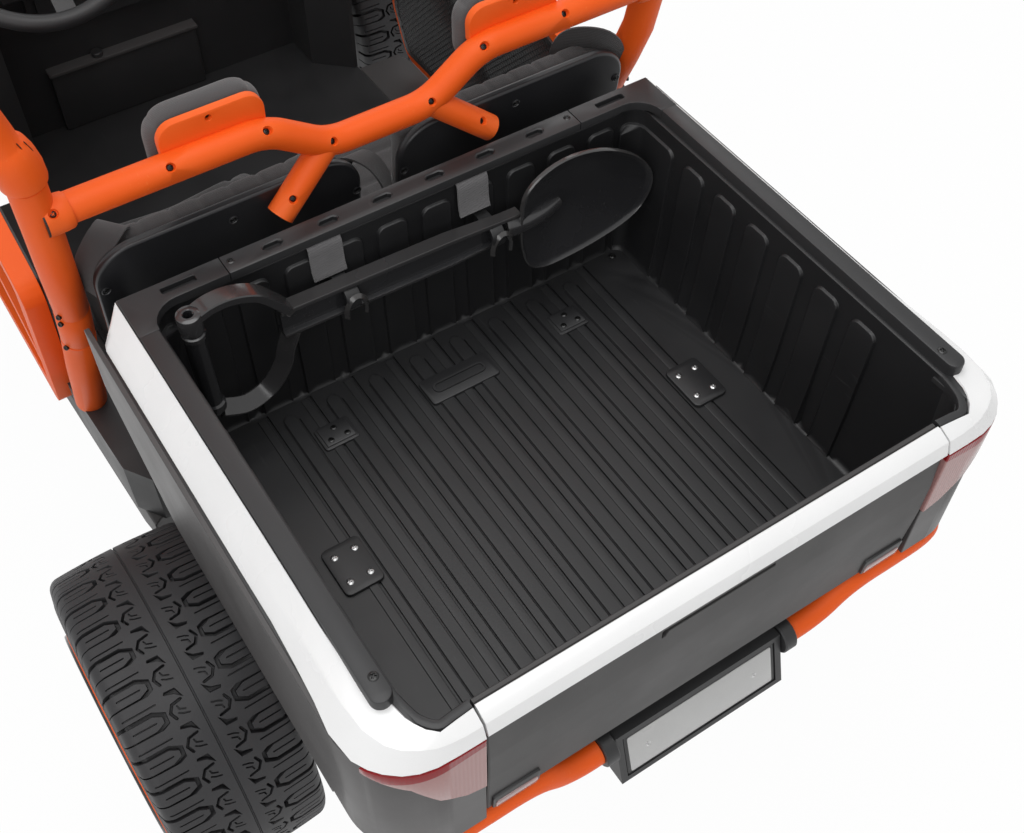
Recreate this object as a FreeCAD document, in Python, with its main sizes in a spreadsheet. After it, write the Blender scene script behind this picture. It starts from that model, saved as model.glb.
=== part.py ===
import FreeCAD, Part
import math
import os
import Sketcher
from FreeCAD import Placement, Rotation, Vector

# Two-seat electric ride-on side-by-side for children, about 1.6 m long.
# X points forward, Y to the left side, Z up. The ground is Z = 0.

SIZES = {
    # Wheels
    "tyre_radius": 172,
    "tyre_wide": 150,
    "track": 744,
    "rear_axle_x": -432,
    "front_axle_x": 555,
    "rim_radius": 104,
    "rim_wall": 4,
    "ring_wide": 15,
    "ring_proud": 4,
    "hub_radius": 30,
    "disc_thick": 8,
    "window_radius": 14,
    # Axles and steering
    "axle_radius": 7,
    "run_gap": 0.3,
    "axle_over": 6,
    "kingpin_y": 268,
    "kingpin_radius": 6,
    "boss_radius": 15,
    "ear_thick": 10,
    "ear_gap": 0.4,
    "beam_wide": 34,
    "beam_low": 148,
    "beam_high": 177.7,
    "arm_long": 60,
    "stud_radius": 4,
    "eye_play": 4,
    "gearbox_radius": 46,
    "gearbox_in": 222,
    "gearbox_out": 288,
    "motor_radius": 24,
    # Frame under the body
    "rail_wide": 24,
    "rail_high": 28,
    "rail_y": 130,
    "rail_low": 178,
    "kick_up": 68,
    "rail_notch_top": 260,
    "frame_front_x": 735,
    "frame_short": 46,
    "hanger_thick": 12,
    "hanger_radius": 17,
    # Cabin floor and walls
    "floor_thick": 6,
    "floor_half": 262,
    "floor_rear_x": -155,
    "toe_half": 213.7,
    "toe_start_x": 340,
    "toe_end_x": 385,
    "firewall_x": 448,
    "shell_wall": 5,
    "firewall_top": 500,
    "wheel_y": 155,
    "panel_wide": 223,
    "panel_high": 90,
    "panel_proud": 17,
    "sill_wide": 74,
    "sill_rear_wide": 56,
    "sill_high": 62,
    "sill_front_x": 335,
    "sill_rear_x": -248,
    # Seats
    "seat_base_top": 318,
    "seat_base_front_x": 75,
    "seat_base_rear_x": -235,
    "seat_base_half": 257,
    "cushion_thick": 46,
    "cushion_wide": 236,
    "seat_y": 137,
    "cushion_front_x": 68,
    "cushion_rear_x": -151.6,
    "back_thick": 40,
    "shell_thick": 10,
    "seat_shell_wide": 270,
    "seat_shell_y": 156,
    "seat_shell_top": 595,
    "seat_shell_top_x": -240,
    "seat_shell_foot_x": -203,
    "soft_gap": 0.4,
    # Cage
    "bar_radius": 14,
    "bar_x": -240,
    "bar_z": 660,
    "bar_end_y": 296,
    "bar_bend_y": 111,
    "bar_dip_y": 53,
    "bar_dip": 40,
    "brace_foot_y": 102,
    "brace_foot_z": 556,
    "post_radius": 22,
    "post_y": 308,
    "cage_radius": 17,
    "cage_top": 888,
    "roof_rear_x": -205,
    "roof_front_x": 180,
    "roof_y": 288,
    "pillar_foot_x": 400,
    "collar_radius": 27,
    "collar_long": 34,
    "headrest_y": 155,
    "headrest_wide": 113,
    "headrest_low": 622,
    "headrest_top": 704,
    "headrest_thick": 26,
    "plate_wide": 95,
    # Doors
    "door_y": 322,
    "door_thick": 22,
    "door_rear_x": -52,
    "door_front_x": 330,
    "door_low": 232,
    "door_high": 556,
    "door_bar": 26,
    "mesh_thick": 3,
    "hinge_radius": 5,
    "barrel_high": 22,
    # Front body
    "cowl_outer": 330,
    "cowl_low": 353,
    "cowl_top": 545,
    "nose_over": 2,
    "nose_front_x": 750,
    "nose_top": 400,
    "bonnet_rear_top": 585,
    "bonnet_mid_top": 528,
    "bonnet_front_top": 455,
    "fender_outer": 425,
    "fender_rear_x": 398,
    "fender_front_x": 763,
    "arch_radius": 228,
    "grille_thick": 10,
    "lamp_thick": 12,
    "bumper_radius": 13,
    "front_bumper_x": 777,
    "front_bumper_half": 130,
    "front_bumper_top": 372,
    # Load bed
    "bed_front_x": -300,
    "bed_long": 451,
    "bed_half": 255.5,
    "bed_draft": 9.5,
    "bed_floor_z": 380,
    "bed_deep": 200,
    "liner_wall": 5,
    "rib_step": 48.4,
    "lip_wide": 21,
    "strip_wide": 24,
    "strip_thick": 8,
    "cap_wide": 25,
    "cap_high": 34,
    "side_y": 317,
    "side_low": 380,
    "corner_low": 392,
    "corner_round": 62,
    "tail_over": 25,
    "gate_half": 223.5,
    "gate_gap": 2,
    "gate_low": 396,
    "gate_top": 566,
    "gate_thick": 24,
    "gate_cap_high": 21,
    "gate_drop": 5,
    "hinge_set": 5,
    "hinge_up": 3,
    "gate_pin": 2,
    "hinge_y": 148,
    "hinge_wide": 20,
    "lamp_low": 459,
    "lamp_wrap": 30,
    "tub_half": 212,
    "tub_wall": 5,
    "bumper_over": 21,
    "rear_bumper_z": 345,
    "rear_bumper_rise": 29,
    "holder_half": 92,
    "holder_low": 303,
    "holder_high": 60,
    "holder_proud": 12,
    "holder_tilt": 6,
    # Shovel in its clips
    "shaft_radius": 9,
    "shovel_x": -326,
    "shovel_z": 516,
}

doc = FreeCAD.newDocument("RideOnSideBySide")
sheet = doc.addObject("Spreadsheet::Sheet", "Sizes")
for row, (alias, value) in enumerate(SIZES.items(), start=1):
    sheet.set("A%d" % row, alias)
    sheet.set("B%d" % row, str(value))
    sheet.setAlias("B%d" % row, alias)
doc.recompute()


class Size:
    """A length that carries its formula in sheet names beside its value now."""

    def __init__(self, text, value):
        self.text = text
        self.value = value

    def __add__(self, other):
        other = size(other)
        return Size("(%s + %s)" % (self.text, other.text), self.value + other.value)

    def __sub__(self, other):
        other = size(other)
        return Size("(%s - %s)" % (self.text, other.text), self.value - other.value)

    def __mul__(self, other):
        other = size(other)
        return Size("(%s * %s)" % (self.text, other.text), self.value * other.value)

    def __truediv__(self, other):
        other = size(other)
        return Size("(%s / %s)" % (self.text, other.text), self.value / other.value)

    def __radd__(self, other):
        return size(other) + self

    def __rsub__(self, other):
        return size(other) - self

    def __rmul__(self, other):
        return size(other) * self

    def __neg__(self):
        return size(0) - self


def size(number):
    if isinstance(number, Size):
        return number
    return Size("(%s)" % float(number), float(number))


class Names:
    """Reads a sheet cell by its alias: s.tyre_radius."""

    def __getattr__(self, alias):
        return Size("Sizes." + alias, float(sheet.get(alias)))


s = Names()
MADE = []

# Places that follow the load bed's length
bed_rear = s.bed_front_x - s.bed_long
tail_x = bed_rear - s.tail_over
frame_rear_x = bed_rear + s.frame_short
rear_bumper_x = bed_rear - s.bumper_over
gate_hinge_x = tail_x + s.hinge_set
gate_hinge_z = s.gate_low + s.hinge_up
nose_half = s.tub_half + s.nose_over


def bind(thing, prop, amount):
    thing.setExpression(prop, size(amount).text)


def new_body(label):
    host = doc.addObject("PartDesign::Body", label)
    host.Label = label
    MADE.append(host)
    return host


def feature(label, shape):
    thing = doc.addObject("Part::Feature", label)
    thing.Label = label
    thing.Shape = shape
    MADE.append(thing)
    return thing


def sketch_on(host, plane, height):
    """A sketch on one of the body's own planes, moved along the plane's normal."""
    drawing = host.newObject("Sketcher::SketchObject", host.Label + "_outline")
    base = [item for item in host.Origin.OriginFeatures if item.Role == plane + "_Plane"][0]
    drawing.AttachmentSupport = [(base, "")]
    drawing.MapMode = "FlatFace"
    height = size(height)
    drawing.AttachmentOffset = Placement(Vector(0, 0, height.value), Rotation())
    bind(drawing, "AttachmentOffset.Base.z", height)
    return drawing


def pin_point(drawing, index, point, across, up):
    """Dimensions one point of the sketch from its origin, from the sheet."""
    for kind, amount in (("DistanceX", across), ("DistanceY", up)):
        amount = size(amount)
        number = drawing.addConstraint(
            Sketcher.Constraint(kind, -1, 1, index, point, amount.value))
        bind(drawing, "Constraints[%d]" % number, amount)


def draw_loop(drawing, corners):
    """A closed outline. A corner is (across, up) or (across, up, radius of its round)."""
    count = len(corners)
    sharp = [Vector(size(c[0]).value, size(c[1]).value, 0) for c in corners]
    rounds = [size(c[2]) if len(c) > 2 else None for c in corners]
    starts = []
    ends = []
    arcs = []
    for i in range(count):
        here = sharp[i]
        back = (sharp[i - 1] - here).normalize()
        ahead = (sharp[(i + 1) % count] - here).normalize()
        if rounds[i] is None:
            ends.append(here)
            starts.append(here)
            arcs.append(None)
            continue
        turn = math.acos(max(-1.0, min(1.0, back.dot(ahead))))
        reach = rounds[i].value / math.tan(turn / 2)
        enter = here + back * reach
        leave = here + ahead * reach
        centre = here + (back + ahead).normalize() * (rounds[i].value / math.sin(turn / 2))
        ends.append(enter)
        starts.append(leave)
        middle = centre + (here - centre).normalize() * rounds[i].value
        arcs.append((Part.Arc(enter, middle, leave), enter, leave))
    lines = []
    for i in range(count):
        segment = Part.LineSegment(starts[i], ends[(i + 1) % count])
        lines.append(drawing.addGeometry(segment, False))
    for i in range(count):
        before = lines[i - 1]
        after = lines[i]
        if rounds[i] is None:
            drawing.addConstraint(Sketcher.Constraint("Coincident", before, 2, after, 1))
            pin_point(drawing, after, 1, corners[i][0], corners[i][1])
            continue
        curve, enter, leave = arcs[i]
        arc = drawing.addGeometry(curve, False)
        first = drawing.getPoint(arc, 1)
        at_enter = 1 if (first - enter).Length < (first - leave).Length else 2
        at_leave = 3 - at_enter
        corner = drawing.addGeometry(Part.Point(sharp[i]), True)
        pin_point(drawing, corner, 1, corners[i][0], corners[i][1])
        drawing.addConstraint(Sketcher.Constraint("PointOnObject", corner, 1, before))
        drawing.addConstraint(Sketcher.Constraint("PointOnObject", corner, 1, after))
        drawing.addConstraint(Sketcher.Constraint("Tangent", before, 2, arc, at_enter))
        drawing.addConstraint(Sketcher.Constraint("Tangent", arc, at_leave, after, 1))
        number = drawing.addConstraint(Sketcher.Constraint("Radius", arc, rounds[i].value))
        bind(drawing, "Constraints[%d]" % number, rounds[i])


def draw_circle(drawing, across, up, radius):
    across = size(across)
    up = size(up)
    radius = size(radius)
    circle = Part.Circle(Vector(across.value, up.value, 0), Vector(0, 0, 1), radius.value)
    index = drawing.addGeometry(circle, False)
    pin_point(drawing, index, 3, across, up)
    number = drawing.addConstraint(Sketcher.Constraint("Radius", index, radius.value))
    bind(drawing, "Constraints[%d]" % number, radius)


def draw(drawing, shapes):
    for shape in shapes:
        if shape[0] == "round":
            draw_circle(drawing, *shape[1:])
        else:
            draw_loop(drawing, shape)


def pad(host, plane, shapes, start, end):
    """Adds material between two planes square to the row axis of that plane."""
    start = size(start)
    end = size(end)
    height = -end if plane == "XZ" else start
    drawing = sketch_on(host, plane, height)
    draw(drawing, shapes)
    block = host.newObject("PartDesign::Pad", host.Label + "_pad")
    block.Profile = drawing
    bind(block, "Length", end - start)
    drawing.Visibility = False
    doc.recompute()
    return block


def pocket(host, plane, shapes, start, end):
    """Takes material away between two planes square to the row axis."""
    start = size(start)
    end = size(end)
    height = -start if plane == "XZ" else end
    drawing = sketch_on(host, plane, height)
    draw(drawing, shapes)
    hole = host.newObject("PartDesign::Pocket", host.Label + "_cut")
    hole.Profile = drawing
    bind(hole, "Length", end - start)
    drawing.Visibility = False
    doc.recompute()
    return hole


def rectangle(left, low, right, high, radius=None):
    corners = [(left, low), (right, low), (right, high), (left, high)]
    if radius is None:
        return corners
    return [(across, up, radius) for across, up in corners]


def slab(label, plane, corners, start, end):
    host = new_body(label)
    pad(host, plane, [corners], start, end)
    return host


def block(host, low, high):
    """A box from its low to its high corner, added to a body."""
    pad(host, "XY", [rectangle(low[0], low[1], high[0], high[1])], low[2], high[2])


def span(side, near, far):
    """The range in Y of a piece on the left (side 1) or right (side -1)."""
    if side > 0:
        return near, far
    return -size(far), -size(near)


def both_sides(label, host):
    """Makes one node of the left body and its mirror image."""
    MADE.remove(host)
    other = doc.addObject("Part::Mirroring", label + "_right")
    other.Source = host
    other.Normal = Vector(0, 1, 0)
    whole = doc.addObject("Part::Compound", label)
    whole.Label = label
    whole.Links = [host, other]
    doc.recompute()
    MADE.append(whole)
    return whole


def turned(label, profile, place):
    """A body turned about its own Y axis, from (radius, across) corners."""
    host = new_body(label)
    drawing = sketch_on(host, "XY", 0)
    draw(drawing, [profile])
    lathe = host.newObject("PartDesign::Revolution", label + "_turned")
    lathe.Profile = drawing
    lathe.ReferenceAxis = (drawing, ["V_Axis"])
    lathe.Angle = 360
    for axis, amount in zip("xyz", place):
        bind(host, "Placement.Base." + axis, amount)
    doc.recompute()
    return host


def numbers(point):
    return Vector(*[size(part).value for part in point])


def tube_shape(points, radius, bend):
    """A round tube along straight runs joined by arcs."""
    points = [numbers(p) for p in points]
    edges = []
    start = points[0]
    for i in range(1, len(points) - 1):
        back = (points[i - 1] - points[i]).normalize()
        ahead = (points[i + 1] - points[i]).normalize()
        turn = math.acos(max(-1.0, min(1.0, back.dot(ahead))))
        reach = bend / math.tan(turn / 2)
        enter = points[i] + back * reach
        leave = points[i] + ahead * reach
        centre = points[i] + (back + ahead).normalize() * (bend / math.sin(turn / 2))
        middle = centre + (points[i] - centre).normalize() * bend
        edges.append(Part.LineSegment(start, enter).toShape())
        edges.append(Part.Arc(enter, middle, leave).toShape())
        start = leave
    edges.append(Part.LineSegment(start, points[-1]).toShape())
    path = Part.Wire(edges)
    direction = (points[1] - points[0]).normalize()
    ring = Part.Wire([Part.Circle(points[0], direction, radius).toShape()])
    return path.makePipeShell([ring], True, False)


def rod_shape(start, end, radius):
    start = numbers(start)
    run = numbers(end) - start
    return Part.makeCylinder(size(radius).value, run.Length, start, run)


def mirrored(shape):
    return shape.mirror(Vector(0, 0, 0), Vector(0, 1, 0))


def pair(label, shape):
    """The left piece and its mirror image as two solids of one node."""
    return feature(label, Part.makeCompound([shape, mirrored(shape)]))


def join(shapes):
    whole = shapes[0].fuse(shapes[1:])
    return whole.removeSplitter()


def solid_of(corners, plane, start, end):
    """A straight-sided solid, for pieces made by Part's own functions."""
    points = []
    level = size(start).value
    for across, up in corners:
        across = size(across).value
        up = size(up).value
        if plane == "XY":
            points.append(Vector(across, up, level))
        elif plane == "XZ":
            points.append(Vector(across, level, up))
        else:
            points.append(Vector(level, across, up))
    points.append(points[0])
    run = size(end).value - level
    way = {"XY": Vector(0, 0, run), "XZ": Vector(0, run, 0), "YZ": Vector(run, 0, 0)}[plane]
    return Part.Face(Part.makePolygon(points)).extrude(way)


# Wheels

AXLE_Z = s.tyre_radius
WHEELS = {
    "rear_left": (s.rear_axle_x, 1),
    "rear_right": (s.rear_axle_x, -1),
    "front_left": (s.front_axle_x, 1),
    "front_right": (s.front_axle_x, -1),
}


def make_tyre(label, axle_x, side):
    half = s.tyre_wide / 2
    top = s.tyre_radius
    bead = s.rim_radius
    shoulder = top - 16
    profile = [
        (bead, -half + 14, 4),
        (bead + 26, -half + 1, 12),
        (shoulder - 12, -half, 10),
        (top - 3, -half + 12, 9),
        (top, 0),
        (top - 3, half - 12, 9),
        (shoulder - 12, half, 10),
        (bead + 26, half - 1, 12),
        (bead, half - 14, 4),
    ]
    turned(label, profile, (axle_x, side * s.track / 2, AXLE_Z))


def make_rim(label, axle_x, side):
    """Barrel, dished disc with windows, hub, and the ring that clamps the bead."""
    half = s.tyre_wide / 2
    outer = s.rim_radius - s.run_gap
    inner = outer - s.rim_wall
    bore = s.axle_radius + s.run_gap
    face = half - 34
    proud = half + s.ring_proud
    ring_low = outer - s.ring_wide
    profile = [
        (bore, -30),
        (s.hub_radius, -30),
        (s.hub_radius, face - s.disc_thick),
        (inner, face - s.disc_thick - 6),
        (inner, -half + 16),
        (outer, -half + 16),
        (outer, half - 13),
        (outer + 12, half - 4, 2),
        (outer + 10, proud, 2),
        (ring_low, proud, 2),
        (ring_low - 4, face + 8),
        (s.hub_radius + 6, face),
        (s.hub_radius - 4, face + 14),
        (bore, face + 14),
    ]
    profile = [(corner[0], side * corner[1]) + tuple(corner[2:]) for corner in profile]
    host = turned(label, profile, (axle_x, side * s.track / 2, AXLE_Z))
    low, high = span(side, face - 40, face + 20)
    middle = (s.hub_radius + ring_low) / 2
    window = pocket(host, "XZ", [[
        (middle - 16, -s.window_radius, 6),
        (middle + 15, -s.window_radius - 7, 6),
        (middle + 15, s.window_radius + 7, 6),
        (middle - 16, s.window_radius, 6),
    ]], low, high)
    spread = host.newObject("PartDesign::PolarPattern", label + "_windows")
    spread.Originals = [window]
    spread.Axis = (window.Profile[0], ["N_Axis"])
    spread.Angle = 360
    spread.Occurrences = 6
    host.Tip = spread
    doc.recompute()


for name, (axle_x, side) in WHEELS.items():
    make_tyre("tyre_" + name, axle_x, side)
    make_rim("rim_" + name, axle_x, side)

# Rear axle, its two gearboxes, and the front beam with its knuckles

wheel_y = s.track / 2
axle_end = wheel_y + s.tyre_wide / 2 - 34 + 14 + s.axle_over


def make_rear_axle():
    place_z = AXLE_Z
    host = new_body("rear_axle")
    pad(host, "XZ", [("round", s.rear_axle_x, place_z, s.axle_radius)], -axle_end, axle_end)


def make_gearboxes():
    """One drum with its motor beside each rear wheel."""
    x = s.rear_axle_x.value
    z = AXLE_Z.value
    near = s.gearbox_in.value
    far = s.gearbox_out.value
    drum = rod_shape((x, near, z), (x, far, z), s.gearbox_radius)
    motor_x = x + 62
    motor = rod_shape((motor_x, near - 60, z + 12), (motor_x, far - 20, z + 12), s.motor_radius)
    web = Part.makeBox(70, 46, 50, Vector(x, near, z - 20))
    bore = rod_shape((x, near - 1, z), (x, far + 1, z), s.axle_radius + s.run_gap)
    pair("gearboxes", join([drum, motor, web]).cut(bore))


def make_front_beam():
    host = new_body("front_beam")
    half = s.beam_wide / 2
    x = s.front_axle_x
    block(host, (x - half, -s.kingpin_y, s.beam_low), (x + half, s.kingpin_y, s.beam_high))
    for side in (1, -1):
        y = side * s.kingpin_y
        boss = [("round", x, y, s.boss_radius + 4)]
        pad(host, "XY", boss, s.beam_low - 8, s.beam_high + 14)
    for side in (1, -1):
        hole = [("round", x, side * s.kingpin_y, s.kingpin_radius + s.run_gap)]
        pocket(host, "XY", hole, s.beam_low - 10, s.beam_high + 16)


boss_low = s.beam_low - 8
boss_high = s.beam_high + 14


def make_knuckle(label, side):
    """Two ears on the kingpin, an upright outside them, the spindle and a steering arm."""
    host = new_body(label)
    x = s.front_axle_x
    y = side * s.kingpin_y
    wide = s.boss_radius
    upright_in = s.kingpin_y + s.boss_radius + 6
    upright_out = upright_in + 9
    low = boss_low - s.ear_gap - s.ear_thick
    high = boss_high + s.ear_gap + s.ear_thick
    near, far = span(side, upright_in, upright_out)
    pad(host, "XZ", [rectangle(x - wide, low, x + wide, high, 4)], near, far)
    for bottom in (low, boss_high + s.ear_gap):
        in_y, out_y = span(side, s.kingpin_y, upright_out - 1)
        pad(host, "XY", [rectangle(x - wide, in_y, x + wide, out_y)], bottom, bottom + s.ear_thick)
        pad(host, "XY", [("round", x, y, wide)], bottom, bottom + s.ear_thick)
    pad(host, "XY", [("round", x, y, s.kingpin_radius)], low + 1, high - 1)
    spindle_in, spindle_out = span(side, upright_out - 2, axle_end)
    pad(host, "XZ", [("round", x, AXLE_Z, s.axle_radius)], spindle_in, spindle_out)
    arm_x = x - s.arm_long
    arm_in, arm_out = span(side, s.kingpin_y - 9, s.kingpin_y + 9)
    pad(host, "XY", [rectangle(arm_x - 9, arm_in, x, arm_out, 8)], low, low + s.ear_thick)
    stud_top = low + s.ear_thick + 14
    pad(host, "XY", [("round", arm_x, y, s.stud_radius)], low + 1, stud_top)


def make_tie_rod():
    x = s.front_axle_x - s.arm_long
    low = boss_low - s.ear_gap + 0.4
    z = low + 6
    eye = s.stud_radius + s.eye_play
    rod = rod_shape((x, -s.kingpin_y + eye + 3, z), (x, s.kingpin_y - eye - 3, z), 5)
    rings = []
    for side in (1, -1):
        y = side * s.kingpin_y
        outer = rod_shape((x, y, low), (x, y, low + 12), eye + 6)
        inner = rod_shape((x, y, low - 1), (x, y, low + 13), eye)
        rings.append((outer, inner))
    whole = join([rod, rings[0][0], rings[1][0]])
    feature("tie_rod", whole.cut([rings[0][1], rings[1][1]]))


make_rear_axle()
make_gearboxes()
make_front_beam()
make_knuckle("knuckle_left", 1)
make_knuckle("knuckle_right", -1)
make_tie_rod()

# Frame: two kicked-up rails, cross members and the rear axle hangers

floor_low = s.rail_low + s.rail_high
floor_top = floor_low + s.floor_thick
rear_rail_low = s.rail_low + s.kick_up
rear_rail_top = rear_rail_low + s.rail_high


def make_frame():
    host = new_body("frame")
    half = s.rail_wide / 2
    kick_start = s.seat_base_rear_x + 75
    kick_end = kick_start - 110
    rail = [
        (s.frame_front_x, s.rail_low),
        (s.frame_front_x, floor_low),
        (kick_start, floor_low),
        (kick_end, rear_rail_top),
        (frame_rear_x, rear_rail_top),
        (frame_rear_x, rear_rail_low),
        (kick_end - 14, rear_rail_low),
        (kick_start - 14, s.rail_low),
    ]
    cross = s.rail_y + half
    pad(host, "XZ", [rail], s.rail_y - half, s.rail_y + half)
    member = 30
    places = [
        (frame_rear_x, rear_rail_low, s.tub_half + 3),
        (kick_end - 34, rear_rail_low, s.tub_half + 3),
        (s.seat_base_front_x - 60, s.rail_low, cross),
        (s.firewall_x - 120, s.rail_low, cross),
        (s.frame_front_x - member, s.rail_low, cross),
    ]
    for x, low, reach in places:
        block(host, (x, -reach, low), (x + member, reach, low + s.rail_high))
    pad(host, "XZ", [rail], -(s.rail_y + half), -(s.rail_y - half))
    for side in (1, -1):
        near, far = span(side, s.rail_y - s.hanger_thick / 2, s.rail_y + s.hanger_thick / 2)
        plate = [
            (s.rear_axle_x - 46, rear_rail_low + 6),
            (s.rear_axle_x - s.hanger_radius, AXLE_Z - s.hanger_radius, 12),
            (s.rear_axle_x + s.hanger_radius, AXLE_Z - s.hanger_radius, 12),
            (s.rear_axle_x + 46, rear_rail_low + 6),
        ]
        pad(host, "XZ", [plate], near, far)
        hole = [("round", s.rear_axle_x, AXLE_Z, s.axle_radius + s.run_gap)]
        pocket(host, "XZ", hole, near - 1, far + 1)


make_frame()

# Cabin: floor, footwell walls with the panel on the firewall, sills

wall = s.shell_wall


def make_floor_pan():
    outline = [
        (s.floor_rear_x, -s.floor_half),
        (s.toe_start_x, -s.floor_half),
        (s.toe_end_x, -s.toe_half),
        (s.firewall_x, -s.toe_half),
        (s.firewall_x, s.toe_half),
        (s.toe_end_x, s.toe_half),
        (s.toe_start_x, s.floor_half),
        (s.floor_rear_x, s.floor_half),
    ]
    slab("floor_pan", "XY", outline, floor_low, floor_top)


def make_footwell():
    skew = wall * 1.2
    outline = [
        (s.toe_start_x, s.floor_half),
        (s.toe_end_x, s.toe_half),
        (s.firewall_x, s.toe_half),
        (s.firewall_x, -s.toe_half),
        (s.toe_end_x, -s.toe_half),
        (s.toe_start_x, -s.floor_half),
        (s.toe_start_x, -s.floor_half + skew),
        (s.toe_end_x - 2, -s.toe_half + wall),
        (s.firewall_x - wall, -s.toe_half + wall),
        (s.firewall_x - wall, s.toe_half - wall),
        (s.toe_end_x - 2, s.toe_half - wall),
        (s.toe_start_x, s.floor_half - skew),
    ]
    host = slab("footwell", "XY", outline, floor_top, s.firewall_top)
    inside = s.firewall_x - wall
    centre = 44
    low = 372
    left = centre - s.panel_wide / 2
    right = centre + s.panel_wide / 2
    panel = rectangle(left, low, right, low + s.panel_high, 10)
    pad(host, "YZ", [panel], inside - s.panel_proud, inside + 1)
    ledge = rectangle(left + 12, low + 26, right - 12, low + s.panel_high - 14, 8)
    pad(host, "YZ", [ledge], inside - s.panel_proud - 7, inside - s.panel_proud + 1)
    knob = [("round", centre + 56, low + s.panel_high - 4, 9)]
    pad(host, "YZ", knob, inside - s.panel_proud - 16, inside)


def make_sills():
    host_shapes = []
    outer = s.floor_half + s.sill_wide
    rear_outer = s.floor_half + s.sill_rear_wide
    near = s.floor_half + s.run_gap
    low = floor_top - s.sill_high
    outline = [
        (s.sill_front_x, near),
        (s.sill_front_x, outer - 8),
        (s.sill_front_x - 30, outer),
        (s.sill_front_x - 150, outer),
        (s.sill_rear_x, rear_outer),
        (s.sill_rear_x + 34, near),
    ]
    deck = solid_of(outline, "XY", low, floor_top)
    foot = solid_of([
        (s.sill_rear_x - 10, low - 1),
        (s.sill_rear_x + 60, low - 1),
        (s.sill_rear_x - 10, low + 34),
    ], "XZ", near - 5, outer + 5)
    step = solid_of([
        (outer - 20, low - 1),
        (outer + 5, low - 1),
        (outer + 5, low + 26),
    ], "YZ", s.sill_rear_x - 10, s.sill_front_x + 10)
    host_shapes.append(deck.cut([foot, step]))
    pair("sills", host_shapes[0])


make_floor_pan()
make_footwell()
make_sills()

# Seats: moulded base, battery inside, cushions, backs, shells behind them


def make_seat_base():
    host = new_body("seat_base")
    profile = [
        (s.seat_base_rear_x, floor_top),
        (s.seat_base_front_x, floor_top),
        (s.seat_base_front_x + 6, s.seat_base_top - 20, 18),
        (s.seat_base_front_x - 14, s.seat_base_top, 10),
        (s.seat_base_rear_x, s.seat_base_top),
    ]
    pad(host, "XZ", [profile], -s.seat_base_half, s.seat_base_half)
    inside = rectangle(
        s.seat_base_rear_x + wall, -s.seat_base_half + wall,
        s.seat_base_front_x - 22, s.seat_base_half - wall)
    pocket(host, "XY", [inside], floor_top - 1, s.seat_base_top - wall)
    near = s.rail_y - s.rail_wide / 2 - 0.5
    far = s.rail_y + s.rail_wide / 2 + 0.5
    rails = [rectangle(side[0], floor_top - 1, side[1], s.rail_notch_top)
             for side in (span(1, near, far), span(-1, near, far))]
    pocket(host, "YZ", rails, s.seat_base_rear_x - 1, s.seat_base_rear_x + wall + 1)


def make_battery():
    host = new_body("battery")
    block(host, (-130, -95, floor_top + 0.3), (20, 95, floor_top + 95))


def back_lean(z):
    """The x of the seat shell's rear face at a height."""
    foot_z = s.seat_base_top
    rise = s.seat_shell_top - foot_z
    return s.seat_shell_foot_x + (s.seat_shell_top_x - s.seat_shell_foot_x) * ((z - foot_z) / rise)


def leaning(front, back, low, high, near, far, radius):
    """A slab that leans with the seat back, with rounded upper corners."""
    front = size(front)
    base = numbers((back_lean(low) + front, 0, low))
    top = numbers((back_lean(high) + front, 0, high))
    near = size(near).value
    far = size(far).value
    radius = size(radius).value
    up = (top - base).normalize()
    tall = (top - base).Length
    thick = size(back).value - size(front).value
    face = [
        Vector(0, near, 0), Vector(0, far, 0),
        Vector(0, far, tall - radius), Vector(0, far - radius, tall),
        Vector(0, near + radius, tall), Vector(0, near, tall - radius),
    ]
    quarter = radius * (1 - math.sqrt(0.5))
    edges = [
        Part.LineSegment(face[0], face[1]).toShape(),
        Part.LineSegment(face[1], face[2]).toShape(),
        Part.Arc(face[2], Vector(0, far - quarter, tall - quarter), face[3]).toShape(),
        Part.LineSegment(face[3], face[4]).toShape(),
        Part.Arc(face[4], Vector(0, near + quarter, tall - quarter), face[5]).toShape(),
        Part.LineSegment(face[5], face[0]).toShape(),
    ]
    shape = Part.Face(Part.Wire(edges)).extrude(Vector(thick, 0, 0))
    tilt = math.degrees(math.atan2(up.x, up.z))
    shape.Placement = Placement(base, Rotation(Vector(0, 1, 0), tilt))
    return shape


def make_seats():
    near = s.seat_y - s.cushion_wide / 2
    far = s.seat_y + s.cushion_wide / 2
    cushion = Part.makeBox(
        (s.cushion_front_x - s.cushion_rear_x).value, s.cushion_wide.value,
        s.cushion_thick.value,
        numbers((s.cushion_rear_x, near, s.seat_base_top + s.soft_gap)))
    cushion = cushion.makeFillet(14, cushion.Edges)
    pair("seat_cushions", cushion)
    shell_near = s.seat_shell_y - s.seat_shell_wide / 2
    shell_far = s.seat_shell_y + s.seat_shell_wide / 2
    foot = s.seat_base_top + s.soft_gap
    shell = leaning(0, s.shell_thick, foot, s.seat_shell_top, shell_near, shell_far, 42)
    pair("seat_shells", shell)
    gap = s.shell_thick + s.soft_gap
    pad_low = s.seat_base_top + s.soft_gap
    back = leaning(gap, gap + s.back_thick, pad_low, s.seat_shell_top - 8,
                   shell_near + 6, shell_far - 6, 38)
    pair("seat_backs", back)


make_seat_base()
make_battery()
make_seats()

# Cage: crossbar with its two braces, posts, roof rails, pillars, roof bars


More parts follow.
